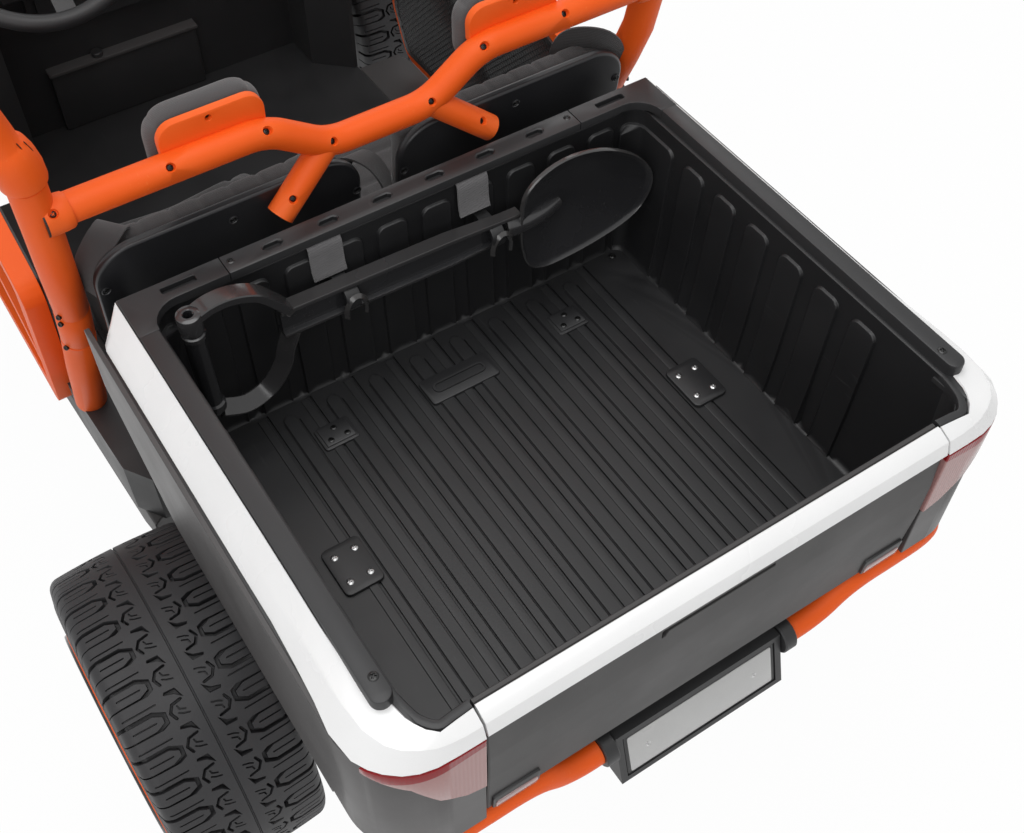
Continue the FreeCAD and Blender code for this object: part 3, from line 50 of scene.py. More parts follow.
CAMERA_PLACE = (-1.090, 0.421, 1.389)
CAMERA_BACK = (-0.5076, 0.3442, 0.7898)
CAMERA_ROLL = math.radians(0.96)
FOCAL_LENGTH = 44.81


def place_camera():
    back = Vector(CAMERA_BACK).normalized()
    level = Vector(UP).cross(back).normalized()
    rise = back.cross(level)
    right = level * math.cos(CAMERA_ROLL) + rise * math.sin(CAMERA_ROLL)
    up = back.cross(right)
    lens = bpy.data.cameras.new("studio_camera")
    lens.sensor_width = 36
    lens.lens = FOCAL_LENGTH
    lens.clip_start = 0.02
    lens.clip_end = 60
    camera = bpy.data.objects.new("studio_camera", lens)
    turn = Matrix((right, up, back)).transposed().to_4x4()
    camera.matrix_world = Matrix.Translation(CAMERA_PLACE) @ turn
    bpy.context.scene.collection.objects.link(camera)
    bpy.context.scene.camera = camera


place_camera()
bpy.context.scene.view_settings.view_transform = "Standard"

# Shared effects, each a node group that puts out colours, masks and values


class Nodes:
    """Adds nodes to a tree and joins them in one line each."""

    def __init__(self, tree):
        self.tree = tree

    def add(self, kind, settings=None, **inputs):
        node = self.tree.nodes.new(kind)
        for key, value in (settings or {}).items():
            setattr(node, key, value)
        for key, value in inputs.items():
            self.put(value, node.inputs[key.replace("_", " ")])
        return node

    def put(self, value, socket):
        if isinstance(value, bpy.types.NodeSocket):
            self.tree.links.new(value, socket)
        else:
            socket.default_value = value

    def sum(self, operation, first, second=None):
        node = self.tree.nodes.new("ShaderNodeMath")
        node.operation = operation
        self.put(first, node.inputs[0])
        if second is not None:
            self.put(second, node.inputs[1])
        return node.outputs[0]

    def blend(self, share, first, second):
        node = self.tree.nodes.new("ShaderNodeMix")
        node.data_type = "RGBA"
        self.put(share, node.inputs[0])
        self.put(first, node.inputs[6])
        self.put(second, node.inputs[7])
        return node.outputs[2]

    def spread(self, value, low, high, to_low=0.0, to_high=1.0):
        node = self.add("ShaderNodeMapRange", Value=value)
        for index, number in enumerate((low, high, to_low, to_high), start=1):
            self.put(number, node.inputs[index])
        return node.outputs[0]


def new_group(name, inputs, outputs):
    tree = bpy.data.node_groups.new(name, "ShaderNodeTree")
    kinds = {"colour": "NodeSocketColor", "value": "NodeSocketFloat", "direction": "NodeSocketVector"}
    for label, kind, start in inputs:
        socket = tree.interface.new_socket(name=label, in_out="INPUT", socket_type=kinds[kind])
        if start is not None:
            socket.default_value = start
    for label, kind in outputs:
        tree.interface.new_socket(name=label, in_out="OUTPUT", socket_type=kinds[kind])
    nodes = Nodes(tree)
    given = tree.nodes.new("NodeGroupInput").outputs
    result = tree.nodes.new("NodeGroupOutput").inputs
    return nodes, given, result


def moulded_grain_group():
    """The fine spark-eroded skin of a moulding, with slow changes of shade and gloss."""
    nodes, given, result = new_group(
        "moulded_grain",
        [("Colour", "colour", (0.03, 0.03, 0.03, 1)), ("Faded colour", "colour", (0.04, 0.04, 0.04, 1)),
         ("Grains per metre", "value", 900.0), ("Low gloss", "value", 0.55),
         ("High gloss", "value", 0.4)],
        [("Colour", "colour"), ("Roughness", "value"), ("Height", "value")])
    place = nodes.add("ShaderNodeTexCoord").outputs["Object"]
    fine = nodes.add("ShaderNodeTexNoise", Vector=place, Scale=given["Grains per metre"], Detail=3.0)
    slow = nodes.add("ShaderNodeTexNoise", Vector=place, Scale=9.0, Detail=4.0, Roughness=0.6)
    share = nodes.spread(slow.outputs[0], 0.35, 0.7)
    speck = nodes.spread(fine.outputs[0], 0.3, 0.7, 0.0, 0.35)
    both = nodes.sum("ADD", nodes.sum("MULTIPLY", share, 0.65), speck)
    nodes.put(nodes.blend(both, given["Colour"], given["Faded colour"]), result["Colour"])
    nodes.put(nodes.spread(slow.outputs[0], 0.35, 0.65, given["High gloss"], given["Low gloss"]),
              result["Roughness"])
    nodes.put(fine.outputs[0], result["Height"])
    return nodes.tree


def handling_wear_group():
    """Fine rubbed streaks, and a paler line where an edge is rubbed."""
    nodes, given, result = new_group(
        "handling_wear",
        [("Streak length", "value", 26.0), ("Amount", "value", 0.3)],
        [("Rubbed", "value"), ("Edges", "value")])
    place = nodes.add("ShaderNodeTexCoord").outputs["Object"]
    stretched = nodes.add("ShaderNodeMapping", Vector=place)
    stretched.inputs["Scale"].default_value = (30, 420, 260)
    stretched.inputs["Rotation"].default_value = (0.2, 0.35, 0.7)
    streaks = nodes.add("ShaderNodeTexNoise", Vector=stretched.outputs[0], Scale=1.0, Detail=2.0)
    patches = nodes.add("ShaderNodeTexNoise", Vector=place, Scale=given["Streak length"], Detail=3.0)
    line = nodes.spread(streaks.outputs[0], 0.64, 0.7)
    where = nodes.spread(patches.outputs[0], 0.5, 0.66)
    rubbed = nodes.sum("MULTIPLY", nodes.sum("MULTIPLY", line, where), given["Amount"])
    nodes.put(rubbed, result["Rubbed"])
    edge = nodes.spread(nodes.add("ShaderNodeNewGeometry").outputs["Pointiness"], 0.52, 0.62)
    nodes.put(nodes.sum("MULTIPLY", edge, given["Amount"]), result["Edges"])
    return nodes.tree


def woven_cloth_group():
    """A plain weave on any face, from threads that cross along the row's axes."""
    nodes, given, result = new_group(
        "woven_cloth",
        [("Warp", "colour", (0.03, 0.03, 0.03, 1)), ("Weft", "colour", (0.06, 0.06, 0.06, 1)),
         ("Thread spacing", "value", 0.0011)],
        [("Colour", "colour"), ("Roughness", "value"), ("Height", "value")])
    place = nodes.add("ShaderNodeTexCoord").outputs["Object"]
    split = nodes.add("ShaderNodeSeparateXYZ", Vector=place)
    turns = nodes.sum("DIVIDE", 6.2832, given["Thread spacing"])
    slant = nodes.sum("ADD", split.outputs[0], split.outputs[2])
    across = nodes.sum("SINE", nodes.sum("MULTIPLY", slant, turns))
    along = nodes.sum("SINE", nodes.sum("MULTIPLY", split.outputs[1], turns))
    crossing = nodes.sum("MULTIPLY", across, along)
    over = nodes.spread(crossing, -0.5, 0.5)
    fluff = nodes.add("ShaderNodeTexNoise", Vector=place, Scale=60.0, Detail=5.0)
    shade = nodes.sum("MULTIPLY", over, nodes.spread(fluff.outputs[0], 0.3, 0.7, 0.55, 1.0))
    nodes.put(nodes.blend(shade, given["Warp"], given["Weft"]), result["Colour"])
    nodes.put(nodes.spread(fluff.outputs[0], 0.3, 0.7, 0.8, 0.95), result["Roughness"])
    nodes.put(over, result["Height"])
    return nodes.tree


def settled_dust_group():
    """Dry dust that lies in patches on faces that look up."""
    nodes, given, result = new_group(
        "settled_dust",
        [("Colour", "colour", (0.03, 0.03, 0.03, 1)), ("Dust", "colour", (0.12, 0.11, 0.1, 1)),
         ("Amount", "value", 0.2)],
        [("Colour", "colour"), ("Cover", "value")])
    place = nodes.add("ShaderNodeTexCoord").outputs["Object"]
    shape = nodes.add("ShaderNodeNewGeometry")
    facing = nodes.add("ShaderNodeSeparateXYZ", Vector=shape.outputs["Normal"])
    upward = nodes.spread(facing.outputs[2], 0.1, 0.9, 0.25, 1.0)
    cloud = nodes.add("ShaderNodeTexNoise", Vector=place, Scale=34.0, Detail=6.0, Roughness=0.7)
    patch = nodes.spread(cloud.outputs[0], 0.4, 0.75)
    cover = nodes.sum("MULTIPLY", nodes.sum("MULTIPLY", upward, patch), given["Amount"])
    nodes.put(nodes.blend(cover, given["Colour"], given["Dust"]), result["Colour"])
    nodes.put(cover, result["Cover"])
    return nodes.tree


GRAIN = moulded_grain_group()
WEAR = handling_wear_group()
WEAVE = woven_cloth_group()
DUST = settled_dust_group()


def colour(red, green, blue):
    return (red, green, blue, 1.0)


def new_material(name):
    material = bpy.data.materials.new(name)
    material.use_nodes = True
    nodes = Nodes(material.node_tree)
    shader = material.node_tree.nodes["Principled BSDF"]
    return material, nodes, shader


def use_group(nodes, tree, **inputs):
    node = nodes.tree.nodes.new("ShaderNodeGroup")
    node.node_tree = tree
    for key, value in inputs.items():
        nodes.put(value, node.inputs[key.replace("_", " ")])
    return node.outputs


def raise_skin(nodes, shader, height, strength, deep):
    bump = nodes.add("ShaderNodeBump", Height=height, Strength=strength, Distance=deep * MM)
    nodes.put(bump.outputs[0], shader.inputs["Normal"])


def moulding(name, base, faded, gloss, grain, wear, coat=0.0):
    """A moulded plastic. gloss is its roughness where faded and where fresh, grain the grains per metre
    and their depth in mm, wear how much is rubbed and the colour there."""
    material, nodes, shader = new_material(name)
    dull, bright = gloss
    grains, deep = grain
    worn, rubbed = wear
    skin = use_group(nodes, GRAIN, Colour=colour(*base), Faded_colour=colour(*faded),
                     Grains_per_metre=grains, Low_gloss=dull, High_gloss=bright)
    marks = use_group(nodes, WEAR, Amount=worn)
    share = nodes.sum("MAXIMUM", marks["Rubbed"], marks["Edges"])
    nodes.put(nodes.blend(share, skin["Colour"], colour(*rubbed)), shader.inputs["Base Color"])
    nodes.put(skin["Roughness"], shader.inputs["Roughness"])
    raise_skin(nodes, shader, skin["Height"], 0.5, deep)
    shader.inputs["Coat Weight"].default_value = coat
    shader.inputs["Coat Roughness"].default_value = 0.12
    return material


def cloth(name, warp, weft, thread, deep=0.5):
    material, nodes, shader = new_material(name)
    weave = use_group(nodes, WEAVE, Warp=colour(*warp), Weft=colour(*weft), Thread_spacing=thread)
    nodes.put(weave["Colour"], shader.inputs["Base Color"])
    nodes.put(weave["Roughness"], shader.inputs["Roughness"])
    raise_skin(nodes, shader, weave["Height"], 0.6, deep)
    shader.inputs["Sheen Weight"].default_value = 0.25
    shader.inputs["Sheen Roughness"].default_value = 0.5
    return material


def tyre_rubber():
    material, nodes, shader = new_material("tread_rubber")
    grain = use_group(nodes, GRAIN, Colour=colour(0.016, 0.016, 0.018),
                      Faded_colour=colour(0.026, 0.025, 0.027), Grains_per_metre=700.0,
                      Low_gloss=0.62, High_gloss=0.48)
    dust = use_group(nodes, DUST, Colour=grain["Colour"], Dust=colour(0.065, 0.06, 0.058), Amount=0.18)
    nodes.put(dust["Colour"], shader.inputs["Base Color"])
    rough = nodes.sum("ADD", grain["Roughness"], nodes.sum("MULTIPLY", dust["Cover"], 0.3))
    nodes.put(rough, shader.inputs["Roughness"])
    raise_skin(nodes, shader, grain["Height"], 0.4, 0.15)
    return material


def plated_steel(name, base, gloss):
    material, nodes, shader = new_material(name)
    grain = use_group(nodes, GRAIN, Colour=colour(*base), Faded_colour=colour(*[c * 0.8 for c in base]),
                      Grains_per_metre=1500.0, Low_gloss=gloss + 0.12, High_gloss=gloss)
    nodes.put(grain["Colour"], shader.inputs["Base Color"])
    nodes.put(grain["Roughness"], shader.inputs["Roughness"])
    shader.inputs["Metallic"].default_value = 1.0
    raise_skin(nodes, shader, grain["Height"], 0.2, 0.05)
    return material


def tail_lens():
    """Red along the top, pale smoked lens under it, with fine upright flutes."""
    material, nodes, shader = new_material("tail_lamp_lens")
    place = nodes.add("ShaderNodeTexCoord").outputs["Object"]
    split = nodes.add("ShaderNodeSeparateXYZ", Vector=place)
    outward = nodes.sum("ABSOLUTE", split.outputs[1])
    rise = nodes.sum("ADD", split.outputs[2], nodes.sum("MULTIPLY", outward, 0.08))
    red_share = nodes.spread(rise, 0.5541, 0.5557)
    lens = nodes.blend(red_share, colour(0.36, 0.19, 0.18), colour(0.24, 0.003, 0.006))
    nodes.put(lens, shader.inputs["Base Color"])
    flutes = nodes.sum("SINE", nodes.sum("MULTIPLY", split.outputs[1], 1800.0))
    raise_skin(nodes, shader, flutes, 0.15, 0.3)
    nodes.put(nodes.spread(red_share, 0.0, 1.0, 0.16, 0.1), shader.inputs["Roughness"])
    shader.inputs["Specular IOR Level"].default_value = 0.25
    return material


RUBBER = tyre_rubber()
BED_BLACK = moulding("bed_liner_black", (0.012, 0.012, 0.013), (0.017, 0.017, 0.018), gloss=(0.5, 0.38),
                     grain=(1100.0, 0.1), wear=(0.3, (0.06, 0.06, 0.062)))
BODY_BLACK = moulding("body_black", (0.015, 0.015, 0.016), (0.022, 0.022, 0.023), gloss=(0.52, 0.4),
                      grain=(900.0, 0.12), wear=(0.2, (0.07, 0.07, 0.07)))
SHELL_BLACK = moulding("seat_shell_black", (0.014, 0.014, 0.016), (0.02, 0.02, 0.022),
                       gloss=(0.4, 0.28), grain=(900.0, 0.06), wear=(0.2, (0.06, 0.06, 0.06)))
TRIM_GREY = moulding("trim_charcoal", (0.046, 0.043, 0.043), (0.054, 0.05, 0.05), gloss=(0.6, 0.48),
                     grain=(1000.0, 0.1), wear=(0.2, (0.12, 0.12, 0.12)))
PANEL_GREY = moulding("tailgate_charcoal", (0.05, 0.047, 0.047), (0.06, 0.056, 0.056), gloss=(0.5, 0.4),
                      grain=(1200.0, 0.08), wear=(0.2, (0.13, 0.13, 0.13)))
GATE_GREY = moulding("tailgate_face_charcoal", (0.031, 0.029, 0.029), (0.038, 0.036, 0.036),
                     gloss=(0.6, 0.5), grain=(1200.0, 0.08), wear=(0.15, (0.09, 0.09, 0.09)))
CAP_WHITE = moulding("cap_white", (0.86, 0.86, 0.86), (0.8, 0.8, 0.8), gloss=(0.3, 0.2),
                     grain=(1500.0, 0.02), wear=(0.03, (0.75, 0.75, 0.75)), coat=0.4)
CAGE_ORANGE = moulding("cage_orange", (0.86, 0.105, 0.008), (0.88, 0.118, 0.011), gloss=(0.56, 0.46),
                       grain=(1000.0, 0.08), wear=(0.2, (0.88, 0.26, 0.08)))
CAGE_ORANGE.node_tree.nodes["Principled BSDF"].inputs["Specular IOR Level"].default_value = 0.26
SHOVEL_BLACK = moulding("shovel_black", (0.02, 0.02, 0.022), (0.027, 0.027, 0.029), gloss=(0.28, 0.18),
                        grain=(1100.0, 0.05), wear=(0.35, (0.08, 0.075, 0.07)), coat=0.5)
RIM_BLACK = moulding("rim_black", (0.014, 0.014, 0.015), (0.02, 0.02, 0.02), gloss=(0.34, 0.24),
                     grain=(1200.0, 0.05), wear=(0.25, (0.1, 0.1, 0.1)), coat=0.2)
PAINT_BLACK = moulding("frame_black_paint", (0.012, 0.012, 0.013), (0.02, 0.02, 0.02),
                       gloss=(0.42, 0.32), grain=(500.0, 0.1), wear=(0.35, (0.16, 0.15, 0.14)),
                       coat=0.2)
REFLECTOR_PALE = moulding("reflector_smoked", (0.33, 0.2, 0.19), (0.28, 0.16, 0.15), gloss=(0.26, 0.18),
                          grain=(350.0, 0.15), wear=(0.1, (0.25, 0.2, 0.2)), coat=0.4)
LAMP_CLEAR = moulding("headlamp_lens", (0.62, 0.64, 0.66), (0.5, 0.52, 0.54), gloss=(0.16, 0.1),
                      grain=(300.0, 0.2), wear=(0.1, (0.7, 0.7, 0.7)), coat=0.8)
TAIL_LENS = tail_lens()
PLATE_FACE = moulding("blank_plate_face", (0.5, 0.5, 0.49), (0.42, 0.42, 0.42), gloss=(0.34, 0.26),
                      grain=(1200.0, 0.03), wear=(0.2, (0.35, 0.35, 0.35)), coat=0.3)
ZINC = plated_steel("zinc_plate", (0.6, 0.6, 0.6), 0.22)
BLACK_SCREW = plated_steel("blackened_screw", (0.06, 0.06, 0.06), 0.3)
SEAT_CLOTH = cloth("seat_upholstery", (0.032, 0.031, 0.032), (0.06, 0.058, 0.06), 0.0016)
PAD_CLOTH = cloth("headrest_cover", (0.07, 0.068, 0.07), (0.12, 0.117, 0.118), 0.0016)
STRAP_CLOTH = cloth("strap_webbing", (0.1, 0.097, 0.1), (0.19, 0.184, 0.187), 0.0022, 0.7)

# Flat outlines, as lists of (across, up) points that run anticlockwise


def square_box(left, low, right, high):
    return [(left, low), (right, low), (right, high), (left, high)]


def circle(across, up, radius, steps):
    turns = [math.tau * k / steps for k in range(steps)]
    return [(across + radius * math.cos(turn), up + radius * math.sin(turn)) for turn in turns]


def mirrored(outline, side):
    """The outline for the left side, 1, or the right one, -1, still run anticlockwise."""
    return [(x, side * y) for x, y in outline][::side]


def rounded_box(left, low, right, high, radius, steps=4):
    corners = [(right, low, -90), (right, high, 0), (left, high, 90), (left, low, 180)]
    inward = [(-1, 1), (-1, -1), (1, -1), (1, 1)]
    points = []
    for (x, y, start), (sx, sy) in zip(corners, inward):
        for k in range(steps + 1):
            angle = math.radians(start + 90 * k / steps)
            points.append((x + sx * radius + radius * math.cos(angle),
                           y + sy * radius + radius * math.sin(angle)))
    return points


def rounded_corners(corners, steps=4):
    """Corners as (across, up, radius); each becomes an arc of that radius."""
    points = []
    for i, (x, y, radius) in enumerate(corners):
        here = Vector((x, y))
        before = (Vector(corners[i - 1][:2]) - here).normalized()
        after = (Vector(corners[(i + 1) % len(corners)][:2]) - here).normalized()
        if radius <= 0:
            points.append((x, y))
            continue
        half = before.angle(after) / 2
        reach = radius / math.tan(half)
        start = here + before * reach
        end = here + after * reach
        middle = here + (before + after).normalized() * (radius / math.sin(half))
        first = start - middle
        turn = first.angle_signed(end - middle)
        for k in range(steps + 1):
            angle = -turn * k / steps
            point = middle + Matrix.Rotation(angle, 2) @ first
            points.append(tuple(point))
    return points


def area(outline):
    return sum(a[0] * b[1] - b[0] * a[1] for a, b in zip(outline, outline[1:] + outline[:1])) / 2


def inset(outline, amount):
    """The same outline drawn in by an amount, corner for corner."""
    sign = 1 if area(outline) > 0 else -1
    count = len(outline)
    points = []
    for i in range(count):
        a, b, c = (Vector(outline[(i + k) % count]) for k in (-1, 0, 1))
        first = (b - a).normalized() if (b - a).length > 1e-9 else (c - b).normalized()
        second = (c - b).normalized() if (c - b).length > 1e-9 else first
        normal = Vector((-first.y - second.y, first.x + second.x))
        scale = max(0.35, normal.length / 2)
        normal.normalize()
        points.append(tuple(b + normal * (sign * amount / scale)))
    return points


def stroke(path, wide, steps=3):
    """The outline of a line of an even width along a path, with round ends."""
    ways = [(Vector(b) - Vector(a)).normalized() for a, b in zip(path, path[1:])]
    left, right = [], []
    for i, point in enumerate(path):
        before = ways[max(0, i - 1)]
        after = ways[min(len(ways) - 1, i)]
        normal = Vector((-before.y - after.y, before.x + after.x))
        scale = max(0.4, normal.length / 2)
        normal.normalize()
        left.append(tuple(Vector(point) + normal * (wide / 2 / scale)))
        right.append(tuple(Vector(point) - normal * (wide / 2 / scale)))
    points = list(right)
    for end, way in ((path[-1], ways[-1]), (path[0], -ways[0])):
        side = Vector((way.y, -way.x)) * (wide / 2)
        for k in range(1, steps):
            angle = math.pi * k / steps
            points.append(tuple(Vector(end) + Matrix.Rotation(angle, 2) @ side))
        if end is path[-1]:
            points.extend(reversed(left))
    return points


def inside(outline, points):
    """Which of the points lie in the outline, as a row of true and false."""
    points = np.asarray(points, float)
    result = np.zeros(len(points), bool)
    x, y = points[:, 0], points[:, 1]
    for (ax, ay), (bx, by) in zip(outline, outline[1:] + outline[:1]):
        if ay == by:
            continue
        crosses = ((ay > y) != (by > y)) & (x < (bx - ax) * (y - ay) / (by - ay) + ax)
        result ^= crosses
    return result


class Surface:
    """Points in millimetres and faces, gathered before they become one mesh."""

    def __init__(self):
        self.points = []
        self.faces = []
        self.finish = []

    def face(self, points, finish=0):
        start = len(self.points)
        self.points.extend(points)
        self.faces.append(list(range(start, start + len(points))))
        self.finish.append(finish)

    def bands(self, rings, capped=False, finish=0):
        """Quads between closed rings of as many points each."""
        start = len(self.points)
        count = len(rings[0])
        for ring in rings:
            self.points.extend(ring)
        for r in range(len(rings) - 1):
            a = start + r * count
            b = a + count
            for i in range(count):
                j = (i + 1) % count
                self.faces.append([a + i, a + j, b + j, b + i])
                self.finish.append(finish)
        if capped:
            self.faces.append(list(reversed(range(start, start + count))))
            end = start + (len(rings) - 1) * count
            self.faces.append(list(range(end, end + count)))
            self.finish.extend([finish, finish])

    def merge(self, other, place):
        """Adds another surface, each of its points put where place says."""
        start = len(self.points)
        self.points.extend(place(p) for p in other.points)
        self.faces.extend([start + i for i in face] for face in other.faces)
        self.finish.extend(other.finish)


def cut_at(outline, across=(), up=()):
    """The outline, with a point added wherever it crosses one of the lines."""
    points = []
    for a, b in zip(outline, outline[1:] + outline[:1]):
        shares = {0.0}
        for axis, marks in ((0, across), (1, up)):
            if abs(b[axis] - a[axis]) > 1e-6:
                found = ((mark - a[axis]) / (b[axis] - a[axis]) for mark in marks)
                shares |= {share for share in found if 0.03 < share < 0.97}
        points.extend(tuple(p + (q - p) * share for p, q in zip(a, b)) for share in sorted(shares))
    return points


def flat_fill(outline, holes, grid=(), lines=()):
    """Triangles over a flat outline that leave its holes open and follow the lines."""
    points = [Vector(p) for p in outline]
    edges = [(i, (i + 1) % len(outline)) for i in range(len(outline))]
    for hole in holes:
        start = len(points)
        points.extend(Vector(p) for p in hole)
        edges.extend((start + i, start + (i + 1) % len(hole)) for i in range(len(hole)))
    for line in lines:
        start = len(points)
        points.extend(Vector(p) for p in line)
        edges.extend((start + i, start + i + 1) for i in range(len(line) - 1))
    points.extend(Vector(p) for p in grid)
    found, _, faces, _, _, _ = delaunay_2d_cdt(points, edges, [], 1, 1e-4)
    middles = [sum((found[i] for i in face), Vector((0, 0))) / len(face) for face in faces]
    keep = inside(outline, middles)
    for hole in holes:
        keep &= ~inside(hole, middles)
    return [[tuple(found[i]) for i in face] for face, kept in zip(faces, keep) if kept]


def pressed_faces(outline, presses, grid=(), lines=()):
    """A sheet over an outline with shapes pressed in or out of it, as faces of (across, up, depth)
    points. A press is an outline and its steps, each (drawn in by, depth)."""
    clear = 0.6
    sheet = flat_fill(outline, [shape for shape, steps in presses], grid, lines)
    faces = [[(x, y, 0.0) for x, y in face] for face in sheet]
    for shape, steps in presses:
        rings = [[(x, y, 0.0) for x, y in shape]]
        rings += [[(x, y, depth) for x, y in inset(shape, amount)] for amount, depth in steps]
        count = len(shape)
        for a, b in zip(rings, rings[1:]):
            faces.extend([a[i], a[(i + 1) % count], b[(i + 1) % count], b[i]] for i in range(count))
        last = [point[:2] for point in rings[-1]]
        depth = rings[-1][0][2]
        spots = []
        if grid:
            within = inside(inset(last, clear), grid)
            spots = [point for point, kept in zip(grid, within) if kept]
        faces.extend([(x, y, depth) for x, y in face] for face in flat_fill(last, [], spots))
    return faces


def pressed(surface, outline, presses, place, grid=(), lines=()):
    for face in pressed_faces(outline, presses, grid, lines):
        surface.face([place(*point) for point in face])


def finish_mesh(name, surface, finishes, join=0.02, crease=32, outward=True):
    mesh = bpy.data.meshes.new(name)
    mesh.from_pydata([Vector(p) * MM for p in surface.points], [], surface.faces)
    mesh.polygons.foreach_set("material_index", surface.finish)
    work = bmesh.new()
    work.from_mesh(mesh)
    bmesh.ops.remove_doubles(work, verts=work.verts, dist=join * MM)
    bmesh.ops.dissolve_degenerate(work, edges=work.edges, dist=0.001 * MM)
    if outward:
        bmesh.ops.recalc_face_normals(work, faces=work.faces)
    for face in work.faces:
        face.smooth = True
    limit = math.radians(crease)
    for edge in work.edges:
        if len(edge.link_faces) == 2 and edge.calc_face_angle(0) > limit:
            edge.smooth = False
    work.to_mesh(mesh)
    work.free()
    for finish in finishes:
        mesh.materials.append(finish)
    return mesh


def make_piece(name, surface, finishes, body, stands_for=(), join=0.02, crease=32):
    if not isinstance(finishes, (list, tuple)):
        finishes = [finishes]
    piece = bpy.data.objects.new(name, finish_mesh(name, surface, finishes, join, crease))
    bpy.context.scene.collection.objects.link(piece)
    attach(piece, body)
    if stands_for:
        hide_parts(*stands_for)
    return piece


def even_normals(piece):
    modifier = piece.modifiers.new("even_normals", "WEIGHTED_NORMAL")
    modifier.keep_sharp = True
    modifier.weight = 80


# Solids swept along a path


def path_frames(path):
    """A point, and two directions across the way, for each point of a path."""
    points = [Vector(p) for p in path]
    frames = []
    side = None
    for i, point in enumerate(points):
        way = (points[min(i + 1, len(points) - 1)] - points[max(i - 1, 0)]).normalized()
        if side is None:
            side = (way.orthogonal() if abs(way.z) > 0.9 else way.cross(UP)).normalized()
        side = (side - way * side.dot(way)).normalized()
        frames.append((point, side, side.cross(way).normalized()))
    return frames


def smooth_path(corners, steps=6, closed=False):
    """A curve through the corners, each run in several steps."""
    points = [Vector(p) for p in corners]
    count = len(points)
    result = []
    runs = count if closed else count - 1
    for i in range(runs):
        def at(k):
            return points[k % count] if closed else points[max(0, min(count - 1, k))]
        a, b, c, d = at(i - 1), at(i), at(i + 1), at(i + 2)
        for k in range(steps):
            t = k / steps
            result.append(0.5 * ((2 * b) + (c - a) * t + (2 * a - 5 * b + 4 * c - d) * t * t
                                 + (3 * b - a - 3 * c + d) * t ** 3))
    if not closed:
        result.append(points[-1])
    return result


def swept(surface, path, section, finish=0, scale=None):
    """A section, as (across, up) points, carried along a path and capped."""
    rings = []
    for i, (point, side, rise) in enumerate(path_frames(path)):
        size = scale[i] if scale else 1
        rings.append([tuple(point + side * (x * size) + rise * (y * size)) for x, y in section])
    surface.bands(rings, capped=True, finish=finish)


def bar_across(surface, section, half):
    """A section of (x, z) points carried straight across the machine."""
    surface.bands([[(x, y, z) for x, z in section] for y in (-half, half)], capped=True)


def spun(surface, profile, centre, axis, steps=32, finish=0):
    """A profile of (radius, along) turned about an axis and capped."""
    axis = Vector(axis).normalized()
    side = axis.orthogonal().normalized()
    rise = axis.cross(side)
    centre = Vector(centre)
    turns = [math.tau * k / steps for k in range(steps)]
    ways = [side * math.cos(turn) + rise * math.sin(turn) for turn in turns]
    rings = [[tuple(centre + axis * along + way * max(radius, 0.01)) for way in ways]
             for radius, along in profile]
    surface.bands(rings, capped=True, finish=finish)


# A screw head in shares of its radius: the dome as (reach, height), and the cross recess
HEAD_DOME = [(1, -1.5), (1, 0.1), (0.97, 0.25), (0.85, 0.42), (0.6, 0.58), (0.5, 0.61), (0.38, 0.63),
             (0.26, 0.64), (0.14, 0.65), (0.02, 0.65)]
HEAD_HEIGHT = 0.55
CROSS_REACH = 0.55
CROSS_HALF = 0.16
CROSS_DEPTH = 0.3


def screw_head(surface, centre, normal, radius, finish=0):
    """A domed head with a cross recess, on a thin flange."""
    normal = Vector(normal).normalized()
    side = normal.orthogonal().normalized()
    rise = normal.cross(side)
    centre = Vector(centre)
    rings = []
    for share, height in HEAD_DOME:
        ring = []
        for x, y in circle(0, 0, share * radius, 24):
            sunk = share < CROSS_REACH and min(abs(x), abs(y)) < CROSS_HALF * radius
            up = height * radius * HEAD_HEIGHT - (CROSS_DEPTH * radius if sunk else 0)
            ring.append(tuple(centre + side * x + rise * y + normal * up))
        rings.append(ring)
    surface.bands(rings, capped=True, finish=finish)


def plate_solid(surface, outline, place, thick, edge=0.8, finish=0, presses=()):
    """A plate with a softened upper edge. place turns (across, up, height) into a point."""
    rings = [(outline, 0), (outline, thick - edge), (inset(outline, edge * 0.3), thick - edge * 0.3),
             (inset(outline, edge), thick)]
    points = [[place(x, y, h) for x, y in ring] for ring, h in rings]
    surface.bands(points, finish=finish)
    for face in flat_fill(outline, []):
        surface.face([place(x, y, 0) for x, y in face], finish)
    for face in pressed_faces(rings[-1][0], list(presses)):
        surface.face([place(x, y, thick + depth) for x, y, depth in face], finish)


def lying_at(z):
    """Places a plate flat at a height."""
    return lambda across, up, height: (across, up, z + height)


def facing_back(x):
    """Places a plate upright at x, with its upper face to the rear."""
    return lambda across, up, height: (x - height, across, up)


# Bodywork that keeps its solid: softened edges and a moulded finish

